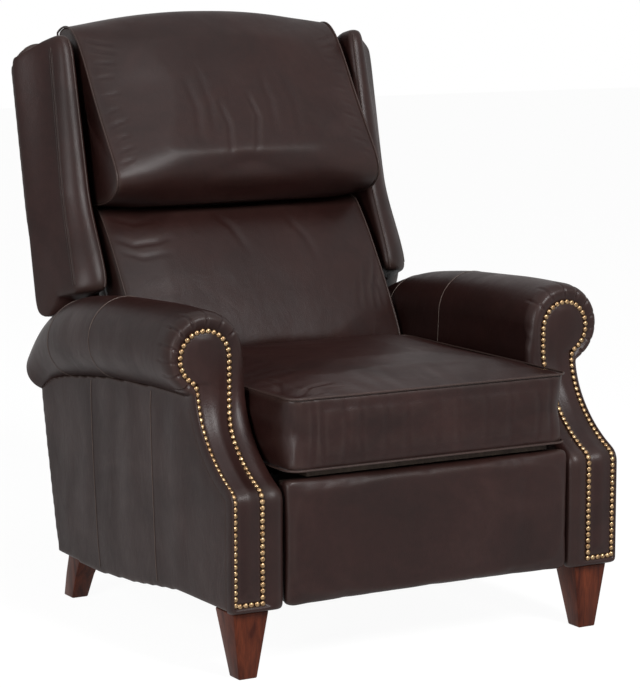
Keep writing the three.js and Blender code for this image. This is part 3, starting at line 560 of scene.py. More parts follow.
def leather_material(name, tone=1.0, worn=0.5, seam_highlight=False):
    """Pull-up leather: mottled brown, fine grain, soft creases, paler where it is stretched over an edge, and, for
    raised seams, pale all over as a painted highlight."""
    look = bpy.context.scene.recliner_leather
    material, tree, shader, place = nodes_of(name)
    # With seam_highlight every cloud takes the pale edge colour: a painted highlight along the raised seams.
    deep, body, pale = (
        tuple(c * tone for c in (look.edge if seam_highlight else colour))
        for colour in (look.deep, look.colour, look.worn)
    )
    cloud = pattern(tree, place, "TexNoise", 5.5, (1, 1, 1.4), Detail=5, Roughness=0.62, Distortion=0.6)
    colour = ramp(tree, cloud.outputs["Fac"], ((0.3, deep), (0.52, body), (0.78, pale)))
    fine = pattern(tree, place, "TexNoise", 95, Detail=3, Roughness=0.6)
    fleck = ramp(tree, fine.outputs["Fac"], ((0.35, 0.84), (0.7, 1.1)))
    shaded = add_node(tree, "MixRGB", {"Color1": colour, "Color2": fleck}, blend_type="MULTIPLY", Fac=0.6)
    edge = add_node(tree, "NewGeometry")
    rub = ramp(tree, edge.outputs["Pointiness"], ((0.5, 0.0), (0.58, 1.0)))
    amount = add_node(tree, "Math", {0: rub}, operation="MULTIPLY")
    amount.inputs[1].default_value = worn
    paler = add_node(tree, "MixRGB", {"Fac": amount.outputs[0], "Color1": shaded.outputs[0]})
    paler.inputs["Color2"].default_value = (*look.edge, 1)
    tree.links.new(paler.outputs[0], shader.inputs["Base Color"])
    rough = ramp(tree, cloud.outputs["Fac"], ((0.3, look.roughness + 0.07), (0.75, look.roughness - 0.05)))
    tree.links.new(rough, shader.inputs["Roughness"])
    slant = add_node(tree, "LayerWeight")
    slant.inputs["Blend"].default_value = 0.5
    gloss = ramp(tree, slant.outputs["Facing"], ((0.3, look.specular), (0.85, look.specular * 0.2)))
    tree.links.new(gloss, shader.inputs["Specular IOR Level"])
    cells = pattern(tree, place, "TexVoronoi", 620, feature="SMOOTH_F1", Smoothness=0.35)
    pores = pattern(tree, place, "TexNoise", 1500, Detail=2)
    soft = pattern(tree, place, "TexNoise", 26, (1, 1, 0.6), Detail=4, Roughness=0.55, Distortion=0.8)
    wide = pattern(tree, place, "TexNoise", 8, (1, 1, 0.7), Detail=2)
    bumps(tree, shader, (
        (wide.outputs["Fac"], 0.003),
        (soft.outputs["Fac"], 0.0006),
        (cells.outputs["Distance"], 0.00013),
        (pores.outputs["Fac"], 0.00005),
    ))
    return material


def wood_material(name, dark, light, roughness):
    """Stained wood with its grain running up the piece."""
    material, tree, shader, place = nodes_of(name)
    rings = pattern(tree, place, "TexNoise", 46, (1, 1, 0.09), Detail=5, Roughness=0.6, Distortion=0.9)
    pores = pattern(tree, place, "TexNoise", 420, (1, 1, 0.035), Detail=2)
    colour = ramp(tree, rings.outputs["Fac"], ((0.34, dark), (0.66, light)))
    speck = ramp(tree, pores.outputs["Fac"], ((0.4, 0.72), (0.58, 1.0)))
    mixed = add_node(tree, "MixRGB", {"Color1": colour, "Color2": speck}, blend_type="MULTIPLY", Fac=0.7)
    tree.links.new(mixed.outputs[0], shader.inputs["Base Color"])
    rough = ramp(tree, rings.outputs["Fac"], ((0.3, roughness + 0.08), (0.7, roughness)))
    tree.links.new(rough, shader.inputs["Roughness"])
    shader.inputs["Specular IOR Level"].default_value = 0.1
    bumps(tree, shader, ((pores.outputs["Fac"], 0.00012), (rings.outputs["Fac"], 0.0002)))
    return material


def metal_material(name, bright, dull, roughness, scale):
    """Metal with a patina in patches and fine scratches."""
    material, tree, shader, place = nodes_of(name)
    cloud = pattern(tree, place, "TexNoise", scale, Detail=4, Roughness=0.6)
    colour = ramp(tree, cloud.outputs["Fac"], ((0.35, dull), (0.62, bright)))
    tree.links.new(colour, shader.inputs["Base Color"])
    rough = ramp(tree, cloud.outputs["Fac"], ((0.3, roughness + 0.12), (0.7, roughness)))
    tree.links.new(rough, shader.inputs["Roughness"])
    shader.inputs["Metallic"].default_value = 1
    scratch = pattern(tree, place, "TexNoise", 900, (1, 0.2, 1), Detail=2)
    bumps(tree, shader, ((scratch.outputs["Fac"], 0.00004),))
    return material


def material_named(name):
    """One of the chair's materials, made when it is first needed."""
    found = bpy.data.materials.get(name)
    if found:
        return found
    look = bpy.context.scene.recliner_finish
    makers = {
        "recliner_leather": lambda: leather_material(name),
        "recliner_leather_welt": lambda: leather_material(name, tone=1.1, worn=0.3),
        # Raised seams in the pale edge colour: painted highlight.
        "recliner_seam": lambda: leather_material(name, tone=1.1, worn=0.3, seam_highlight=True),
        # Near-black thread: stitches, with the shade of the grooves beside the wing seam painted into them.
        "recliner_thread": lambda: leather_material(name, tone=look.thread_and_groove_shade, worn=0.2),
        "recliner_leg_wood": lambda: wood_material(name, look.leg_dark, look.leg_light, 0.36),
        "recliner_frame_wood": lambda: wood_material(name, look.frame_dark, look.frame_light, 0.55),
        # Near-black wood on the frame parts seen in the gaps round the seat, footrest and back: painted shade.
        "recliner_lining_wood": lambda: wood_material(name, look.gap_shade_dark, look.gap_shade_light, 0.6),
        "recliner_brass": lambda: metal_material(name, look.brass, look.brass_dull, 0.3, 260),
        "recliner_steel": lambda: metal_material(name, look.steel, look.steel_dull, 0.38, 60),
        "recliner_spring_steel": lambda: metal_material(name, look.spring, look.steel_dull, 0.3, 90),
    }
    return makers[name]()


def leather():
    """The leather of the covers."""
    return material_named("recliner_leather")


# Settings


def colour_property(name, description, default):
    """A colour that a user may change."""
    return FloatVectorProperty(
        name=name, description=description, default=default, subtype="COLOR", size=3, min=0, max=1
    )


def length_property(name, description, default):
    """A size that a user may change."""
    return FloatProperty(name=name, description=description, default=default, unit="LENGTH")


def share_property(name, description, default, low=0.0):
    """A share that a user may change."""
    return FloatProperty(name=name, description=description, default=default, min=low, max=1, subtype="FACTOR")


def power_property(name, description, default):
    """A light's power that a user may change."""
    return FloatProperty(name=name, description=description, default=default, min=0, unit="POWER")


class ReclinerLeather(bpy.types.PropertyGroup):
    """Colours and gloss of the leather, and the pale colour of the seams, a painted highlight."""

    colour: colour_property("Leather", "Main brown of the leather", (0.0148, 0.0053, 0.0045))
    deep: colour_property("Deep", "Darker clouds of the leather", (0.0092, 0.0031, 0.0026))
    worn: colour_property("Worn", "Paler clouds of the leather", (0.0225, 0.0093, 0.008))
    # Pale rub on pointy edges, and the whole colour of the raised seams, where it is a painted highlight.
    edge: colour_property("Edge wear and seam highlight", "Leather rubbed pale along an edge", (0.075, 0.056, 0.048))
    roughness: share_property("Roughness", "How dull the leather is", 0.37, low=0.1)
    specular: share_property("Specular", "Strength of the leather's gloss", 0.17)


class ReclinerFinish(bpy.types.PropertyGroup):
    """Colours of the wood, brass, steel and thread."""

    leg_dark: colour_property("Leg, dark grain", "Dark grain of the stained legs", (0.03, 0.0058, 0.0028))
    leg_light: colour_property("Leg, light grain", "Light grain of the stained legs", (0.09, 0.02, 0.008))
    frame_dark: colour_property("Frame, dark grain", "Dark grain of the inner frame", (0.26, 0.16, 0.08))
    frame_light: colour_property("Frame, light grain", "Light grain of the inner frame", (0.45, 0.31, 0.18))
    # The near-black colours below paint the shade in the gaps round the seat, footrest and back.
    gap_shade_dark: colour_property(
        "Gap shade, dark grain", "Dark grain of the wood behind the footrest", (0.014, 0.009, 0.007)
    )
    gap_shade_light: colour_property(
        "Gap shade, light grain", "Light grain of the wood behind the footrest", (0.026, 0.018, 0.013)
    )
    brass: colour_property("Brass", "Bright brass of the nail heads", (0.36, 0.25, 0.14))
    brass_dull: colour_property("Dull brass", "Patina on the nail heads", (0.12, 0.062, 0.026))
    steel: colour_property("Steel", "Painted steel of the mechanism", (0.05, 0.05, 0.052))
    steel_dull: colour_property("Dull steel", "Darker steel", (0.02, 0.02, 0.021))
    spring: colour_property("Spring steel", "Steel of the springs", (0.3, 0.3, 0.31))
    # Dark tone of the stitches, which also paints the shade of the grooves beside the wing seam.
    thread_and_groove_shade: FloatProperty(
        name="Thread and groove shade", description="Tone of the thread against the leather's", default=0.35, min=0.1, max=8
    )


class ReclinerSizes(bpy.types.PropertyGroup):
    """Sizes of the trim."""

    welt: length_property("Welt", "Radius of the welts on the cushions", 2.0 * MM)
    seam: length_property("Seam", "Radius of the raised seams", 0.65 * MM)
    stitch: length_property("Stitch", "Length of a stitch", 4.2 * MM)
    nail: length_property("Nail head", "Radius of a nail head", 5.2 * MM)
    nail_spacing: length_property("Nail spacing", "Distance from nail to nail", 10.6 * MM)
    pleat: length_property("Pleat", "Depth of the pleats round a scroll", 3.6 * MM)
    fill: length_property("Fill", "How far the cushions may swell", 14 * MM)


class ReclinerStudio(bpy.types.PropertyGroup):
    """Floor and lights."""

    key: power_property("Key light", "Power of the main light", 190)
    fill: power_property("Fill light", "Power of the second light", 85)
    top: power_property("Top light", "Power of the light overhead", 14)
    air: FloatProperty(name="Air", description="Strength of the light from all round", default=0.13, min=0)
    floor: colour_property("Floor", "Colour of the floor", (0.86, 0.86, 0.86))


# Stage

CAMERA_PLACE = (-2.4079935549, -4.1950232407, 1.2042623710)
CAMERA_DIP, CAMERA_TURN = 0.1484023326, -0.5269030875
SENSOR = 36
FOCAL_SHARE = 2690 / 688  # focal length, as a share of the picture's longer side
AIM = Vector((0, 0, 0.5))  # what the lamps point at
FLOOR_GLOW, FLOOR_SHARE = 1.08, 0.88  # brightness of the floor where it is seen, and how much that counts


class RECLINER_OT_stage(bpy.types.Operator):
    """Camera, floor, lights and the white air round them"""

    bl_idname = "recliner.stage"
    bl_label = "Stage"

    def execute(self, context):
        scene = context.scene
        scene.view_settings.view_transform = "Standard"
        camera = bpy.data.objects.new("camera", bpy.data.cameras.new("camera"))
        scene.collection.objects.link(camera)
        camera.location = CAMERA_PLACE
        camera.rotation_euler = (math.pi / 2 - CAMERA_DIP, 0, CAMERA_TURN)
        camera.data.sensor_width = SENSOR
        camera.data.lens = SENSOR * FOCAL_SHARE
        camera.data.clip_end = 100
        scene.camera = camera
        self.lamps(scene)
        self.floor(scene)
        self.air(scene)
        return {"FINISHED"}

    def lamps(self, scene):
        """Soft boxes in front, on the left and overhead."""
        studio = scene.recliner_studio
        for name, power, width, height, place in (
            ("key", studio.key, 1.0, 1.3, (0.45, -3.4, 2.85)),
            ("fill", studio.fill, 0.6, 2.0, (-3.3, -2.0, 1.4)),
            ("top", studio.top, 1.4, 1.4, (0.1, -0.7, 3.5)),
        ):
            lamp = bpy.data.lights.new(name, "AREA")
            lamp.energy = power
            lamp.shape = "RECTANGLE"
            lamp.size, lamp.size_y = width, height
            obj = bpy.data.objects.new(name, lamp)
            scene.collection.objects.link(obj)
            obj.location = place
            obj.rotation_euler = (AIM - obj.location).to_track_quat("-Z", "Y").to_euler()

    def floor(self, scene):
        """A floor that is white where it is seen and still takes the shadow."""
        bm = bmesh.new()
        bmesh.ops.create_grid(bm, x_segments=2, y_segments=2, size=14)
        obj = from_bmesh("floor", bm)
        material = bpy.data.materials.new("studio_floor")
        material.use_nodes = True
        tree = material.node_tree
        shader = tree.nodes["Principled BSDF"]
        shader.inputs["Base Color"].default_value = (*scene.recliner_studio.floor, 1)
        shader.inputs["Roughness"].default_value = 0.9
        glow = add_node(tree, "Emission", Strength=FLOOR_GLOW)
        mix = add_node(tree, "MixShader", {1: shader.outputs[0], 2: glow.outputs[0]})
        seen = self.seen(tree)
        part = add_node(tree, "Math", {0: seen}, operation="MULTIPLY")
        part.inputs[1].default_value = FLOOR_SHARE
        tree.links.new(part.outputs[0], mix.inputs["Fac"])
        tree.links.new(mix.outputs[0], tree.nodes["Material Output"].inputs["Surface"])
        obj.data.materials.append(material)

    def seen(self, tree):
        """1 for rays that see the background: camera, glossy and transmission rays."""
        path = add_node(tree, "LightPath")
        first = add_node(
            tree, "Math", {0: path.outputs["Is Camera Ray"], 1: path.outputs["Is Glossy Ray"]}, operation="ADD"
        )
        both = add_node(
            tree, "Math", {0: first.outputs[0], 1: path.outputs["Is Transmission Ray"]}, operation="ADD",
            use_clamp=True,
        )
        return both.outputs[0]

    def air(self, scene):
        """A weak light from all round, in front of a white background."""
        world = bpy.data.worlds.new("studio")
        world.use_nodes = True
        scene.world = world
        tree = world.node_tree
        around = tree.nodes["Background"]
        around.inputs["Color"].default_value = (1, 1, 1, 1)
        around.inputs["Strength"].default_value = scene.recliner_studio.air
        behind = add_node(tree, "Background", Strength=1.0)
        behind.inputs["Color"].default_value = (1, 1, 1, 1)
        mix = add_node(tree, "MixShader", {"Fac": self.seen(tree), 1: around.outputs[0], 2: behind.outputs[0]})
        tree.links.new(mix.outputs[0], tree.nodes["World Output"].inputs["Surface"])


# Frame


class RECLINER_OT_frame(bpy.types.Operator):
    """Wood and steel on the parts of the frame that stay as they are"""

    bl_idname = "recliner.frame"
    bl_label = "Frame finishes"

    def execute(self, context):
        slots = {
            "frame_wood": "recliner_frame_wood",
            "gap_shade": "recliner_lining_wood",
            # The near-black wood stands for the shade in the gaps: painted shade.
            "leg_wood": "recliner_leg_wood",
            "mechanism_steel": "recliner_steel",
            "spring_steel": "recliner_spring_steel",
            "nail_brass": "recliner_brass",
            "leather": "recliner_leather",
        }
        kinds = (
            (("stump", "post", "rail", "board"), "frame_wood"),
            (("leg",), "leg_wood"),
            (
                # Frame parts seen in the gaps get near-black wood as painted shade.
                ("seat_side_rail", "seat_front_rail", "seat_front_deck", "footrest_board", "stile", "upper_rail"),
                "gap_shade",
            ),
            (("plate", "link", "coupler", "tube", "bracket", "slide_bar"), "mechanism_steel"),
            (("springs",), "spring_steel"),
            (("nail",), "nail_brass"),
        )
        for name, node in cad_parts.items():
            found = [slot for words, slot in kinds if any(word in name for word in words)]
            material = material_named(slots[found[-1] if found else "leather"])
            node.data.materials.clear()
            node.data.materials.append(material)
        return {"FINISHED"}


# Legs


class RECLINER_OT_legs(bpy.types.Operator):
    """Four stained legs with softened edges"""

    bl_idname = "recliner.legs"
    bl_label = "Legs"

    def execute(self, context):
        for name in ("front_leg", "rear_leg"):
            for side, _ in SIDES:
                node = f"{name}_{side}"
                bm = node_bmesh(node)
                bmesh.ops.dissolve_limit(bm, angle_limit=math.radians(2), verts=bm.verts, edges=bm.edges)
                sharp = [e for e in bm.edges if e.is_manifold and e.calc_face_angle(0) > math.radians(40)]
                bmesh.ops.bevel(
                    bm, geom=sharp, offset=2.6 * MM, offset_type="OFFSET", segments=3, profile=0.5,
                    affect="EDGES", material=-1, clamp_overlap=True,
                )
                obj = from_bmesh(f"{name}_wood_{side}", bm)
                wood = material_named("recliner_leg_wood")
                finish_piece(obj, "base", wood, [node], slot="leg_wood", crisp=30)
        return {"FINISHED"}


# Arms

PLEATS = tuple(math.radians(a) for a in (-52, -27, -5, 16, 42, 66, 92, 118, 143))
PLEAT_REACH = 17 * MM  # how far the pleats run along the arm pad


def pleat(angle, reach):
    """Depth of the pleats at an angle round the scroll, as a share; reach fades them out."""
    push = 0.0
    for k, place in enumerate(PLEATS):
        width = 0.03 + 0.008 * (k % 2)
        near = ((angle - place) / width) ** 2
        if near < 16:
            push += (0.45 * near - 1) * math.exp(-near) * (0.75 + 0.25 * math.sin(5 * k + 1))
    return push * reach


class RECLINER_OT_arm_fronts(bpy.types.Operator):
    """Padded borders, facings and pleats of the two arm fronts"""

    bl_idname = "recliner.arm_fronts"
    bl_label = "Arm fronts"

    def execute(self, context):
        sizes = context.scene.recliner_sizes
        outer = border_outline()
        nails = nail_outline()
        count = len(outer)
        turns = [math.pi / 2 * i / 8 for i in range(9)]
        steps = [(0.0, 1.15), (0.0, 1.0)] + [(0.42 * (1 - math.cos(a)), 1 - math.sin(a)) for a in turns]
        swells = (
            (0.5, -3.4), (0.6, -2.9), (0.7, -1.8), (0.79, -0.5), (0.87, 0.9), (0.94, 2.3), (1.0, 3.6), (1.06, 6.0),
        )
        rings = []
        for t, side, swell in [(t, side, None) for t, side in steps] + [(t, None, d) for t, d in swells]:
            ring = []
            for i in range(count):
                a, b = outer[i], nails[i]
                p = a.lerp(b, t)
                scroll = self.scroll_share(i)
                if side is None:
                    depth = swell * MM
                else:
                    depth = side * (BORDER_DEPTH + 2.9 * MM + SCROLL_TURN * scroll) - BORDER_TUCK
                if scroll and t < 1:
                    angle = math.atan2(a.y - SCROLL_Z, a.x - SCROLL_X)
                    push = sizes.pleat * pleat(angle, scroll * ease((0.8 - t) / 0.3))
                    turn = min(1.0, t / 0.25)
                    p = p + (a - b).normalized() * push * (1 - turn)
                    depth -= push * turn
                ring.append(Vector((p.x, front_at(p.y, depth), p.y)))
            rings.append(ring)
        both_sides(
            "arm_border", skin(rings, caps=False), "base", leather(), ["arm_front_border"],
            levels=1, fill=0.7,
        )
        self.facings()
        return {"FINISHED"}

    def scroll_share(self, i):
        """1 on the scroll, fading to 0 along the straight sides of the outline."""
        before, after = ARC_START - i, i - ARC_START - ARC_STEPS
        return 1 - ease(max(before, after, 0) / 8)

    def facings(self):
        """The panels inside the nail heads: rows from side to side, bulging and tucked in at the rim."""
        x, z, radius = NAIL_ARCH
        low = math.acos((NAIL_OUTER - x) / radius)
        foot_rows, arch_rows, columns = 66, 34, 18
        levels = [
            (z - radius * math.sin(low)) * t + NAIL_BOTTOM * (1 - t)
            for t in (k / foot_rows for k in range(foot_rows))
        ]
        angles = [-low + (math.pi / 2 - 0.05 + low) * k / arch_rows for k in range(arch_rows + 1)]
        rows = []
        for height, angle in [(h, None) for h in levels] + [(z + radius * math.sin(a), a) for a in angles]:
            inner = NAIL_INNER + (x - radius - NAIL_INNER) * ease((height - NAIL_NECK) / (65 * MM))
            if angle is not None and angle > 0:
                inner = x - radius * math.cos(angle)
            rows.append((height, inner, NAIL_OUTER if angle is None else x + radius * math.cos(angle)))
        top = z + radius
        rings = []
        for height, x0, x1 in rows:
            ring = []
            for k in range(columns + 1):
                t = -0.02 + 1.04 * k / columns
                px = x0 + (x1 - x0) * t
                rim = min(px - x0, x1 - px, height - NAIL_BOTTOM, (top - height) * 1.6)
                middle = max(0.0, 1 - (2 * k / columns - 1) ** 2)
                inset = 5.2 * (1 - ease((rim / MM + 3) / 10)) - 0.3 - 3.6 * middle * ease(rim / MM / 26)
                ring.append(Vector((px, front_at(height, inset * MM), height)))
            rings.append(ring)
        both_sides(
            "arm_facing", skin(rings, closed=False, caps=False), "base", leather(), ["arm_front_facing"],
            levels=1, fill=0.8,
        )


def inner_side(drop, margin=0.0):
    """Place (x) of the arm's inner side, at a drop below the scroll's middle."""
    start = SCROLL_X - SCROLL_RADIUS - margin
    return start + (INSIDE - margin - start) * ease(drop / ARM_LINE)


def roll_rings():
    """The arm cover's section, over the pad, down the inside of the arm and back within it, and its marks
    along the arm. A place on the section is x, z, the angle on the pad and how much of the drop it takes."""
    section = [
        (SCROLL_X + SCROLL_RADIUS * math.cos(a), SCROLL_Z + SCROLL_RADIUS * math.sin(a), a, 1.0)
        for a in scroll_angles(OUTSIDE, SCROLL, 120)
    ]
    foot, level, shelf = 124 * MM, 300 * MM, 470 * MM
    inner_count, within_count, marks_count = 44, 6, 46
    for i in range(1, inner_count + 1):
        z = SCROLL_Z + (foot - SCROLL_Z) * (i / inner_count)
        section.append((inner_side(SCROLL_Z - z), z, None, ease((z - level) / (SCROLL_Z - level))))
    within = INSIDE + 14 * MM
    shares = [i / within_count for i in range(1, within_count + 1)]
    section += [(within, foot + (shelf - foot) * t, None, ease(t * 1.1)) for t in shares]
    section += [(within + (OUTSIDE - 12 * MM - within) * t, shelf - 14 * MM * t, None, 1.0) for t in shares[:-1]]
    offsets = (0, 1.2, 2.4, 3.8, 5.4, 7.4, 10, 13, 17, 23, 32, 44)
    marks = [(offset * MM, None) for offset in offsets]
    marks += [(offsets[-1] * MM, i / marks_count) for i in range(1, marks_count + 1)]
    return section, marks


def slimmer(y, angle):
    """How far the arm pad's skin is drawn in (x, z), at a place along it and an angle round it."""
    share = ease((y - ROLL_SLIM_START) / (ROLL_REAR - ROLL_SLIM_START))
    outside = (0.5 + 0.5 * math.cos(angle)) ** 0.7
    drawn = ROLL_SLIM * share * outside
    return Vector((-drawn * math.cos(angle), -drawn * math.sin(angle) - 0.9 * drawn))


def arm_cover_point(x, z, angle, weight, mark, sizes):
    """One point of the arm cover, for a place on its section and a mark along it."""
    offset, share = mark
    y0 = front_at(min(z, 0.65), BORDER_DEPTH) + (SCROLL_TURN - MM if angle is not None else 0)
    y = y0 + offset
    drop = 0.0
    for _ in range(4):
        height = z - drop * weight
        rear = rear_at(height) - (MM if angle is not None else 12.8 * MM)
        if share is not None:
            y = y0 + offset + (rear - y0 - offset) * share
        drop = roll_drop(max(y, ROLL_FRONT))
    z -= drop * weight
    reach = max(0.0, 1 - (y - y0) / PLEAT_REACH) ** 1.4
    if angle is not None:
        push = sizes.pleat * pleat(angle, reach)
        slim = slimmer(y, angle)
        x += push * math.cos(angle) + slim.x
        z += push * math.sin(angle) + slim.y
    return Vector((x, y, z))


class RECLINER_OT_arm_covers(bpy.types.Operator):
    """Arm pads and the inside of the arms in one cover, with their seams"""

    bl_idname = "recliner.arm_covers"
    bl_label = "Arm covers"

    def execute(self, context):
        sizes = context.scene.recliner_sizes
        section, marks = roll_rings()
        rings = [[arm_cover_point(*place, mark, sizes) for place in section] for mark in marks]
        last = rings[-1]
        centre = sum(last, Vector()) / len(last)
        for dome, inwards in ((0.6, 0.006), (0.96, 0.02), (1.08, 0.05)):
            rings.append([p.lerp(centre, inwards) + Vector((0, dome * MM, 0)) for p in last])
        bm = skin(rings, caps=False)
        rear_rim = [e for e in bm.edges if e.is_boundary and min(v.co.y for v in e.verts) > 0]
        bmesh.ops.holes_fill(bm, edges=rear_rim)
        both_sides(
            "arm_cover", bm, "base", leather(), ["arm_roll_pad", "arm_inside_panel"], levels=1, fill=0.8
        )
        self.seams(sizes)
        return {"FINISHED"}

    def seams(self, sizes):
        """Raised seams round the arm pad and down the inside of the arm."""
        # The seams are pale as a painted highlight along their ridge.
        material = material_named("recliner_seam")
        radius = SCROLL_RADIUS + 0.1 * MM
        for number, y, stop in ((1, -3 * MM, 420 * MM), (2, 178 * MM, 400 * MM)):
            path = []
            middle = SCROLL_Z - roll_drop(y)
            for a in scroll_angles(OUTSIDE, SCROLL, 60):
                slim = slimmer(y, a)
                path.append(Vector((
                    SCROLL_X + radius * math.cos(a) + slim.x, y, middle + radius * math.sin(a) + slim.y,
                )))
            for i in range(1, 13):
                z = middle + (stop - middle) * i / 12
                path.append(Vector((inner_side(middle - z, 0.25 * MM), y, z)))
            both_tubes("base", (f"arm_seam_{number}", [path], sizes.seam, material, 2))


class RECLINER_OT_arm_outsides(bpy.types.Operator):
    """Outside panels of the arms with their upright seams"""

    bl_idname = "recliner.arm_outsides"
    bl_label = "Arm outsides"

    def execute(self, context):
        for side, sign in SIDES:
            node = f"arm_outside_panel_{side}"
            obj = remeshed(f"arm_side_{side}", node, 4.5 * MM, rounds=4)
            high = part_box(node)[1]
            fade = 50 * MM

            def puff(co, normal, sign=sign, high=high):
                if normal.x * sign < 0.5:
                    return co
                top = ease((high.z - co.z) / fade)
                foot = ease((co.z - 95 * MM) / (60 * MM))
                front = ease((co.y - front_at(co.z, BORDER_DEPTH)) / fade)
                wave = 0.6 * math.sin(co.y * 37 + 1) * math.sin(co.z * 9 + 2) + 0.4 * math.sin(co.y * 71)
                push = (1.6 + 0.8 * wave) * top * foot * front * MM
                return co + Vector((sign * push, 0, 0))

            reshape(obj, puff)
            finish_piece(obj, "base", leather(), [node], fill=0.6)
            self.seams(context.scene.recliner_sizes, side, sign, obj)
        return {"FINISHED"}

    def seams(self, sizes, side, sign, panel):
        """Two raised seams that lie on a panel."""
        # The seams are pale as a painted highlight along their ridge.
        material = material_named("recliner_seam")
        ends = (((86, 441), (60, 100)), ((-149, 449), (-168, 121)))
        for number, ((y0, z0), (y1, z1)) in enumerate(ends, 1):
            path = []
            for i in range(41):
                t = i / 40
                y = (y0 + (y1 - y0) * t**1.6) * MM
                z = (z0 + (z1 - z0) * t) * MM
                found, hit, _, _ = panel.ray_cast(Vector((sign * 0.5, y, z)), Vector((-sign, 0, 0)))
                if found:
                    path.append(hit + Vector((sign * 0.2 * MM, 0, 0)))
            tube(f"side_seam_{number}_{side}", [path], sizes.seam, "base", material)


class RECLINER_OT_nails(bpy.types.Operator):
    """Rows of domed brass nail heads round the arm fronts"""

    bl_idname = "recliner.nails"
    bl_label = "Nail heads"

    def execute(self, context):
        sizes = context.scene.recliner_sizes
        inset, step = 0.7 * MM, 3 * MM
        line = [Vector((p.x, front_at(p.y, inset), p.y)) for p in denser(nail_outline(), 2 * MM)]
        line.append(line[0])
        marks = lengths(line)
        count = round(marks[-1] / sizes.nail_spacing)
        bm = bmesh.new()
        for place in spots(line, marks, [marks[-1] * k / count for k in range(count)]):
            lean = math.atan2(front_at(place.z + step) - front_at(place.z - step), 2 * step)
            turn = Matrix.Rotation(math.pi / 2 - lean, 4, "X")
            where = Matrix.Translation(place) @ turn @ Matrix.Diagonal((1, 1, 0.6, 1))
            bmesh.ops.create_uvsphere(bm, u_segments=10, v_segments=6, radius=sizes.nail, matrix=where)
        both_sides(
            "nail_heads", bm, "base", material_named("recliner_brass"), ["nail_trim"], slot="nail_brass"
        )
        return {"FINISHED"}


# Back


def back_point(x, w, v):
    """A place in the back's own frame, in millimetres: across, behind its rear plane, up the rake."""
    return BACK @ (Vector((x, w, v)) * MM)


WING_SEAM, WING_BAND = 18, 14  # points of a ring on the outside and on the front band
WING_EDGE = WING_SEAM + WING_BAND + 1
WING_WAIST = 0.42  # share of a wing's height at which its flare starts


def wing_section(share):
    """One ring round a wing (x, w) at a share of its height: outside, front band, edge, inside, rear."""
    foot, waist, head = (354, -118, -142), (345, -87, -104), (335, -79, -95)
    if share < WING_WAIST:
        seam_x, seam_w, lip_w = (a + (b - a) * ease(share / WING_WAIST) for a, b in zip(foot, waist))
    else:
        seam_x, seam_w, lip_w = (
            a + (b - a) * (share - WING_WAIST) / (1 - WING_WAIST) for a, b in zip(waist, head)
        )
    lip_x = 301.0
    rear, seam, lip = (388, -13), (seam_x, seam_w), (lip_x + 5, lip_w - 3)
    turn, inside, inside_rear = (lip_x - 6, lip_w + 10), (290.5, -34), (291, -13)
    curves = (
        (rear, (386.5, -30), (seam_x + 13, seam_w + 34), seam, WING_SEAM),
        (seam, (seam_x - 6, seam_w - 9), (lip_x + 22, lip_w - 7), lip, WING_BAND),
        (lip, (lip_x - 1, lip_w - 2), (lip_x - 6, lip_w + 2), turn, 6),
        (turn, (lip_x - 7, lip_w + 30), (290.5, -50), inside, 8),
        (inside, (290.5, -28), (290.5, -22), inside_rear, 3),
        (inside_rear, (320, -12.5), (350, -12.5), rear, 8),
    )
    return [
        tuple(bend(*values, i / count) for values in zip(*ends)) for *ends, count in curves for i in range(count)
    ]


def wing_limits(x, w):
    """Lowest and highest place of a wing, up the rake, at a place of its section."""
    low = along(((-150, 464), (-66, 464), (-44, 447), (-13, 430)), w)
    rear = ease((w + 70) / 57) ** 2
    return low, 938 - 20 * rear + 9 * ease((372 - x) / 70)


class RECLINER_OT_wings(bpy.types.Operator):
    """Upholstered wings with a double-stitched seam and a welted edge"""

    bl_idname = "recliner.wings"
    bl_label = "Wings"

    def execute(self, context):
        sizes = context.scene.recliner_sizes
        head = (
            (0.925, 0.008), (0.945, 0.025), (0.962, 0.055), (0.976, 0.1), (0.987, 0.17), (0.994, 0.26),
            (0.998, 0.4), (1.0, 0.6),
        )
        foot = ((0, 0.34), (0.005, 0.16), (0.017, 0.06), (0.038, 0.015))
        shares = [t for t, _ in foot] + [0.07 + 0.83 * i / 44 for i in range(45)] + [t for t, _ in head]
        pull = dict(foot + head)
        rings = []
        for share in shares:
            section = wing_section(share)
            centre_x = sum(p[0] for p in section) / len(section)
            centre_w = sum(p[1] for p in section) / len(section)
            ring = []
            for x, w in section:
                low, high = wing_limits(x, w)
                inwards = pull.get(share, 0.0)
                if share > 0.5:
                    inwards *= 1 - 0.75 * ease((w + 55) / 42)
                ring.append(back_point(
                    x + (centre_x - x) * inwards, w + (centre_w - w) * inwards, low + (high - low) * share
                ))
            rings.append(ring)
        bm = skin(rings)
        both_sides("wing_cover", bm, "back", leather(), ["wing"], levels=1, fill=0.8)
        self.trim(sizes, rings)
        return {"FINISHED"}

    def trim(self, sizes, rings):
        """A welt on the inner edge, a raised seam at the front and a line of stitches on each side of it, in
        near-black thread that also paints the shade of the grooves beside the seam.
        """
        welt = material_named("recliner_leather_welt")
        # Near-black thread, which also paints the shade of the grooves beside the seam.
        thread_and_groove_shade = material_named("recliner_thread")
        edge = [ring[WING_EDGE] for ring in rings[2:-4]]
        seam = [ring[WING_SEAM] for ring in rings[3:-5]]
        before = [ring[WING_SEAM - 1].lerp(ring[WING_SEAM], 0.3) for ring in rings[3:-5]]
        after = [ring[WING_SEAM].lerp(ring[WING_SEAM + 1], 0.8) for ring in rings[3:-5]]
        stitches = [dash for path in (before, after) for dash in dashes(path, sizes.stitch, 0.9 * MM)]
        both_tubes(
            "back",
            ("wing_seam", [seam], sizes.seam, welt, 2),
            ("wing_stitches", stitches, 0.75 * MM, thread_and_groove_shade, 0),
            ("wing_welt", [edge], 1.7 * MM, welt, 2),
        )


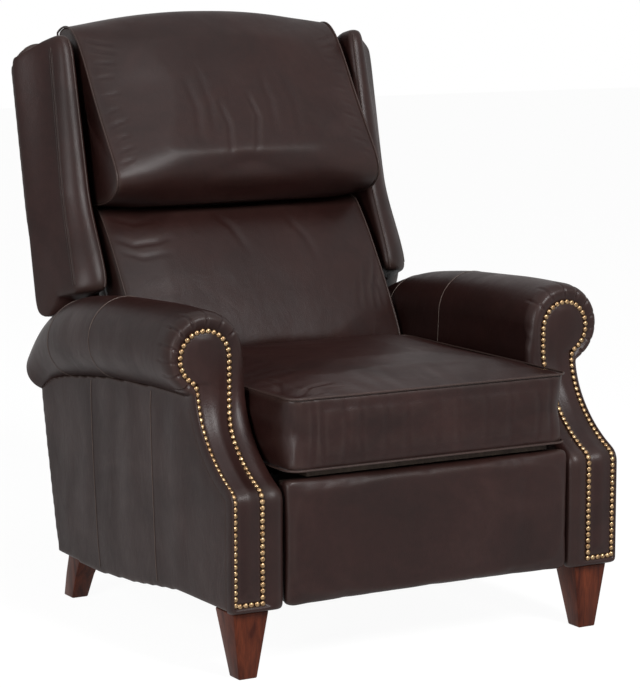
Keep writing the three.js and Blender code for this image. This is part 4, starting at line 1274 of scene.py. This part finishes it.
class RECLINER_OT_outside_back(bpy.types.Operator):
    """Outside back, lower rear cover and the strips between the arms and the back"""

    bl_idname = "recliner.outside_back"
    bl_label = "Outside back"

    def execute(self, context):
        cover = remeshed("outside_back", "outside_back_cover", 5 * MM, rounds=3)

        def puff(co, normal):
            local = BACK_INVERSE @ co
            if normal.dot(REARWARDS) < 0.6:
                return co
            half = (280 if local.z < 492 * MM else 380) * MM
            side = ease((half - abs(local.x)) / (100 * MM))
            foot = ease((local.z - 222 * MM) / (100 * MM))
            top = ease((950 * MM - local.z) / (120 * MM))
            return co + REARWARDS * (5 * MM * side * foot * top)

        def tuck(co, normal):
            """The upper corners, rounder, so that the wings cover them."""
            local = BACK_INVERSE @ co
            outer = ease((abs(local.x) / MM - 330) / 50)
            local.z -= 12 * MM * outer * ease((local.z / MM - 820) / 120)
            foot = 1 - ease((local.z / MM - 500) / 140)
            local.x -= math.copysign((1 + 6 * foot) * MM * outer, local.x)
            return BACK @ local

        reshape(cover, puff)
        reshape(cover, tuck)
        finish_piece(cover, "back", leather(), ["outside_back_cover"], fill=0.5)
        covers = [("rear_panel", "base_rear_cover", 4.5)]
        covers += [(f"rear_strip_{side}", f"arm_rear_strip_{side}", 4) for side, _ in SIDES]
        for name, node, voxel in covers:
            finish_piece(remeshed(name, node, voxel * MM, rounds=3), "base", leather(), [node])
        return {"FINISHED"}


# Cushions


def rounded_plan(half_x, half_y, corner, middle_y):
    """A closed rounded rectangle (x, y)."""
    points = []
    for sx, sy, a0 in ((1, -1, -90), (1, 1, 0), (-1, 1, 90), (-1, -1, 180)):
        for i in range(13):
            a = math.radians(a0 + 90 * i / 12)
            x = sx * (half_x - corner) + corner * math.cos(a)
            y = middle_y + sy * (half_y - corner) + corner * math.sin(a)
            points.append(Vector((x, y)))
    return denser(points, 6 * MM)


class RECLINER_OT_seat_cushion(bpy.types.Operator):
    """Box seat cushion with welts round its top and bottom"""

    bl_idname = "recliner.seat_cushion"
    bl_label = "Seat cushion"

    def execute(self, context):
        sizes = context.scene.recliner_sizes
        low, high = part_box("seat_cushion")
        edge_top = low.z + 126.7 * MM
        half_x, half_y = (high.x - low.x) / 2, (high.y - low.y) / 2
        middle = (high.y + low.y) / 2
        corner, seam_width, seam_height = 24 * MM, 9 * MM, 4.5 * MM
        obj = remeshed("seat_cushion_cover", "seat_cushion", 6.5 * MM, shrink=1.5 * MM)
        top_line, low_line = edge_top - 4 * MM, low.z + 4 * MM

        def rim(co):
            """Distance from the cushion's outline, inwards."""
            dx, dy = half_x - abs(co.x), half_y - abs(co.y - middle)
            if dx < corner and dy < corner:
                return corner - math.hypot(corner - dx, corner - dy)
            return min(dx, dy)

        def held(co):
            near = min(abs(co.z - top_line), abs(co.z - low_line))
            return 1.0 if rim(co) < seam_width and near < seam_height else 0.0

        plump(obj, held, sizes.fill * 0.5, pressure=2.2, slack=0.008)
        applied(soften(obj))
        side, front, rear = half_x + 4.5 * MM, low.y - 11 * MM, high.y + 0.5 * MM

        def settle(co, normal):
            return Vector((
                max(-side, min(side, co.x)), max(front, min(rear, co.y)), max(co.z, low.z + 0.4 * MM),
            ))

        reshape(obj, settle)
        crease(obj, lambda co: Vector((co.x, co.y)), lambda co, n: n.z > 0.3, (
            (((-262, -380), (-240, -330), (-236, -270)), 6, 1.6),
            (((-250, -415), (-215, -392), (-170, -385)), 6, 1.8),
            (((-225, -425), (-190, -408), (-140, -404)), 5, 1.1),
            (((262, -395), (238, -350), (232, -290)), 6, 1.2),
            (((255, 60), (215, 10), (200, -60)), 9, 1.6),
            (((-255, 60), (-205, 20), (-180, -40)), 9, 1.6),
        ))
        crease(obj, lambda co: Vector((co.x, co.z)), lambda co, n: n.y < -0.5, tuple(
            (((x, 352), (x + lean, 405), (x + lean * 0.4, 458)), width, depth)
            for x, lean, width, depth in (
                (-236, 5, 6, 1.8), (-214, -4, 6, 1.4), (-176, 6, 7, 1.2), (-139, -5, 7, 0.9), (-95, 4, 8, 0.8),
                (-48, -5, 8, 0.8), (5, 6, 9, 0.7), (52, -4, 8, 0.8), (104, 5, 8, 0.7), (160, -5, 8, 0.8),
                (213, 4, 7, 1.0), (243, -3, 6, 1.3),
            )
        ))
        finish_piece(obj, "seat", leather(), ["seat_cushion"], fill=0.8)
        welt = material_named("recliner_leather_welt")
        plan = rounded_plan(half_x, half_y, corner, middle)
        for name, z in (("top", edge_top - 3 * MM), ("bottom", low.z + 4 * MM)):
            path = [Vector((p.x, p.y, z)) for p in plan]
            tube(f"seat_welt_{name}", [path], sizes.welt, "seat", welt, closed=True)
        return {"FINISHED"}


def standing_rings(profile, half_x, count):
    """Rings across a standing cushion: its side view (w, v) carried from one side to the other."""
    shares = [2 * k / count - 1 for k in range(count + 1)]
    return [[back_point(half_x * share, w, v) for w, v in profile(share)] for share in shares]


def end_rings(ring, outwards):
    """Rings that close the side of a standing cushion, slightly domed."""
    centre = sum(ring, Vector()) / len(ring)
    domes = ((0.06, 2.6), (0.15, 4.6), (0.28, 6.2), (0.45, 7.2), (0.64, 7.8), (0.82, 8.0), (0.95, 8.0))
    return [[p.lerp(centre, t) + Vector((outwards * dome * MM, 0, 0)) for p in ring] for t, dome in domes]


def closed_curve(knots, count):
    """A smooth closed line through knots, in a fixed count of points."""
    total = len(knots)
    points = []
    for k in range(count):
        s = total * k / count
        i = int(s)
        t = s - i
        p0, p1, p2, p3 = (Vector(knots[(i + j) % total]) for j in (-1, 0, 1, 2))
        points.append(
            0.5 * (2 * p1 + (p2 - p0) * t + (2 * p0 - 5 * p1 + 4 * p2 - p3) * t * t
                   + (3 * p1 - p0 - 3 * p2 + p3) * t**3)
        )
    return points


def even(points, count):
    """The same closed line with its points evenly spread."""
    line = points + [points[0]]
    marks = lengths(line)
    return spots(line, marks, [marks[-1] * k / count for k in range(count)])


CUSHION_REAR = -50  # plane of the springs, in the back's own frame in millimetres
RAIL_FRONT, RAIL_FOOT, RAIL_HEAD = -13, 925, 957  # the top rail, which the pillow rolls over


def standing_cushion(name, node, profile, half_x, stations, side, folds, sizes, fill):
    """A filled cushion against the back: rings, air, settling, folds, welts."""
    core = standing_rings(profile, half_x, stations)
    welts = (core[0], core[-1])
    rings = end_rings(core[0], -1)[::-1] + core + end_rings(core[-1], 1)
    obj = from_bmesh(name, skin(rings))
    mesh = obj.data
    points, faces = [v.co.copy() for v in mesh.vertices], [list(face.vertices) for face in mesh.polygons]
    mesh.clear_geometry()
    mesh.from_pydata(points, [], faces)  # makes the edges anew, so that the air fills it the same way each run
    seam = {tuple(round(c, 6) for c in p) for ring in welts for p in ring}

    def held(co):
        return 1.0 if tuple(round(c, 6) for c in co) in seam else 0.0

    plump(obj, held, sizes.fill * 0.6, slack=0.006, calm=14)

    def settle(co, normal):
        local = BACK_INVERSE @ co
        if local.z < RAIL_FOOT * MM:
            local.y = min(local.y, CUSHION_REAR * MM)
        elif local.z < RAIL_HEAD * MM:
            local.y = min(local.y, RAIL_FRONT * MM)
        local.x = max(-side * MM, min(side * MM, local.x))
        return BACK @ local

    reshape(obj, settle)
    applied(soften(obj))

    def flat(co):
        local = BACK_INVERSE @ co
        return Vector((local.x, local.z))

    crease(obj, flat, lambda co, n: n.dot(-REARWARDS) > 0.15, folds)
    finish_piece(obj, "back", leather(), [node], fill=fill)
    welt = material_named("recliner_leather_welt")
    for side_name, ring in (("right", welts[0]), ("left", welts[1])):
        tube(f"{name}_welt_{side_name}", [ring], sizes.welt, "back", welt, closed=True)


def pillow_profile(share):
    """Side view of the head pillow at a share of its half-width: a wedge, deep at its foot, over the top rail."""
    arch = 25 * (1 - share * share)
    soft = 1 - abs(share) ** 4
    knots = [
        (-52, 634), (-80, 629), (-115, 627 - 3 * soft), (-150 - 4 * soft, 631 - 6 * soft),
        (-176 - 9 * soft, 645 - 6 * soft), (-184 - 14 * soft, 664 - 3 * soft), (-177 - 18 * soft, 692),
        (-161 - 21 * soft, 729), (-143 - 23 * soft, 770), (-123 - 24 * soft, 818 + arch * 0.1),
        (-105 - 23 * soft, 866 + arch * 0.3), (-87 - 19 * soft, 910 + arch * 0.5),
        (-68 - 11 * soft, 944 + arch * 0.8), (-48 - 5 * soft, 964 + arch), (-26, 971 + arch), (-6, 970 + arch),
        (10, 964 + arch * 0.8), (2, 957.5 + arch * 0.4), (-13.5, 952), (-14, 938), (-32, 929), (-50, 922),
        (-50.5, 890), (-50.5, 840), (-50.5, 790), (-50.5, 720),
    ]
    return even(closed_curve(knots, 300), 120)


def lumbar_profile(share):
    """Side view of the lumbar cushion at a share of its half-width."""
    soft = 1 - abs(share) ** 4
    knots = [
        (-54, 280), (-80, 272), (-130, 271), (-176, 273), (-196, 290), (-198 - 4 * soft, 340),
        (-181 - 9 * soft, 400), (-162 - 12 * soft, 453), (-146 - 14 * soft, 494), (-128 - 13 * soft, 538),
        (-110 - 11 * soft, 576), (-92 - 6 * soft, 608), (-78, 622), (-60, 624.5), (-50.5, 612), (-50.5, 530),
        (-50.5, 440), (-50.5, 350),
    ]
    return even(closed_curve(knots, 260), 112)


class RECLINER_OT_lumbar_cushion(bpy.types.Operator):
    """Lumbar cushion with welted sides"""

    bl_idname = "recliner.lumbar_cushion"
    bl_label = "Lumbar cushion"

    def execute(self, context):
        folds = (
            (((-262, 560), (-235, 545), (-190, 548), (-160, 556)), 7, 1.8),
            (((-262, 535), (-225, 520), (-170, 526)), 7, 1.5),
            (((-262, 600), (-220, 585), (-180, 590)), 6, 1.2),
            (((262, 470), (240, 430), (236, 395)), 6, 2.4),
            (((268, 500), (252, 450), (254, 400)), 5, 2.2),
            (((238, 480), (222, 440), (216, 400)), 7, 2.0),
            (((210, 455), (200, 425), (196, 395)), 7, 1.2),
            (((-60, 600), (-30, 570), (-10, 520)), 10, 1.2),
            (((90, 590), (120, 540), (130, 490)), 10, 1.0),
        )
        standing_cushion(
            "lumbar_cushion_cover", "lumbar_cushion", lumbar_profile, 275, 62, 283, folds,
            context.scene.recliner_sizes, 0.8,
        )
        return {"FINISHED"}


class RECLINER_OT_head_pillow(bpy.types.Operator):
    """Head pillow with welted sides and gathers beside the welts"""

    bl_idname = "recliner.head_pillow"
    bl_label = "Head pillow"

    def execute(self, context):
        folds = []
        for sign in (-1, 1):
            for k, (v, reach, rise, depth) in enumerate((
                (690, 26, 8, 1.4), (712, 34, 10, 1.8), (736, 30, 9, 1.6), (762, 38, 12, 1.8), (790, 28, 8, 1.3),
                (822, 34, 6, 1.2), (858, 30, 2, 1.4), (890, 38, -4, 1.7), (915, 44, -10, 1.8), (936, 48, -14, 1.6),
            )):
                start = 266 - 2 * (k % 3)
                path = (start, v), (start - reach * 0.5, v + rise * 0.6), (start - reach, v + rise)
                folds.append((tuple((sign * x, y) for x, y in path), 3.6, depth * (1 if sign < 0 else 0.8)))
        folds += [
            (((-42, 800), (-36, 755), (-48, 700)), 7, 1.7),
            (((22, 815), (30, 770), (8, 705)), 6, 2.0),
            (((-100, 850), (-92, 790), (-104, 730)), 10, 1.2),
            (((-70, 870), (-62, 800), (-70, 745)), 8, 0.9),
            (((60, 860), (66, 800), (58, 740)), 10, 1.0),
            (((110, 850), (118, 790), (108, 730)), 11, 0.9),
        ]
        standing_cushion(
            "head_pillow_cover", "head_pillow", pillow_profile, 278, 64, 287, folds,
            context.scene.recliner_sizes, 0.9,
        )
        return {"FINISHED"}


class RECLINER_OT_footrest(bpy.types.Operator):
    """Smooth padded footrest panel"""

    bl_idname = "recliner.footrest"
    bl_label = "Footrest"

    def execute(self, context):
        low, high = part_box("footrest_pad")
        obj = remeshed("footrest_cover", "footrest_pad", 4.5 * MM, rounds=5, shrink=MM)

        def held(co):
            return 1.0 if co.y > high.y - 4 * MM else 0.0

        plump(obj, held, 4 * MM, pressure=2.5, slack=0.004)
        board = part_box("footrest_board")[1].y + 0.2 * MM
        spread = 1.007  # the cover wraps the board's ends
        reshape(obj, lambda co, n: Vector((co.x * spread, board if co.y > high.y - 3 * MM else co.y, co.z)))
        crease(obj, lambda co: Vector((co.x, co.z)), lambda co, n: n.y < -0.5, (
            (((-40, 320), (-36, 260), (-44, 190)), 14, 0.5),
            (((90, 325), (96, 250), (88, 160)), 16, 0.5),
            (((190, 320), (184, 250), (194, 170)), 14, 0.5),
            (((-160, 318), (-166, 240), (-156, 150)), 16, 0.5),
        ))
        finish_piece(obj, "footrest", leather(), ["footrest_pad"], levels=1, fill=0.7)
        return {"FINISHED"}


class RECLINER_PT_panel(bpy.types.Panel):
    """Sizes, finishes and the steps that build the recliner"""

    bl_label = "Wingback recliner"
    bl_idname = "RECLINER_PT_panel"
    bl_space_type = "VIEW_3D"
    bl_region_type = "UI"
    bl_category = "Recliner"

    def draw(self, context):
        layout = self.layout
        for step in STEPS:
            layout.operator(step.bl_idname)
        for name in SETTINGS:
            group = getattr(context.scene, name)
            column = layout.column(heading=group.bl_rna.name)
            for key in group.bl_rna.properties.keys():
                if key not in ("rna_type", "name"):
                    column.prop(group, key)


STEPS = (
    RECLINER_OT_stage,
    RECLINER_OT_frame,
    RECLINER_OT_legs,
    RECLINER_OT_arm_fronts,
    RECLINER_OT_arm_covers,
    RECLINER_OT_arm_outsides,
    RECLINER_OT_nails,
    RECLINER_OT_wings,
    RECLINER_OT_outside_back,
    RECLINER_OT_lumbar_cushion,
    RECLINER_OT_head_pillow,
    RECLINER_OT_seat_cushion,
    RECLINER_OT_footrest,
)
SETTINGS = {
    "recliner_leather": ReclinerLeather,
    "recliner_finish": ReclinerFinish,
    "recliner_sizes": ReclinerSizes,
    "recliner_studio": ReclinerStudio,
}


def register():
    for cls in (*SETTINGS.values(), *STEPS, RECLINER_PT_panel):
        bpy.utils.register_class(cls)
    for name, cls in SETTINGS.items():
        setattr(bpy.types.Scene, name, PointerProperty(type=cls))


def unregister():
    for name in SETTINGS:
        delattr(bpy.types.Scene, name)
    for cls in (RECLINER_PT_panel, *reversed(STEPS), *reversed(list(SETTINGS.values()))):
        bpy.utils.unregister_class(cls)


def main():
    register()
    for step in STEPS:
        group, name = step.bl_idname.split(".")
        if getattr(getattr(bpy.ops, group), name)() != {"FINISHED"}:
            raise RuntimeError(f"{step.bl_label} wasn't finished")


if __name__ == "__main__":
    main()
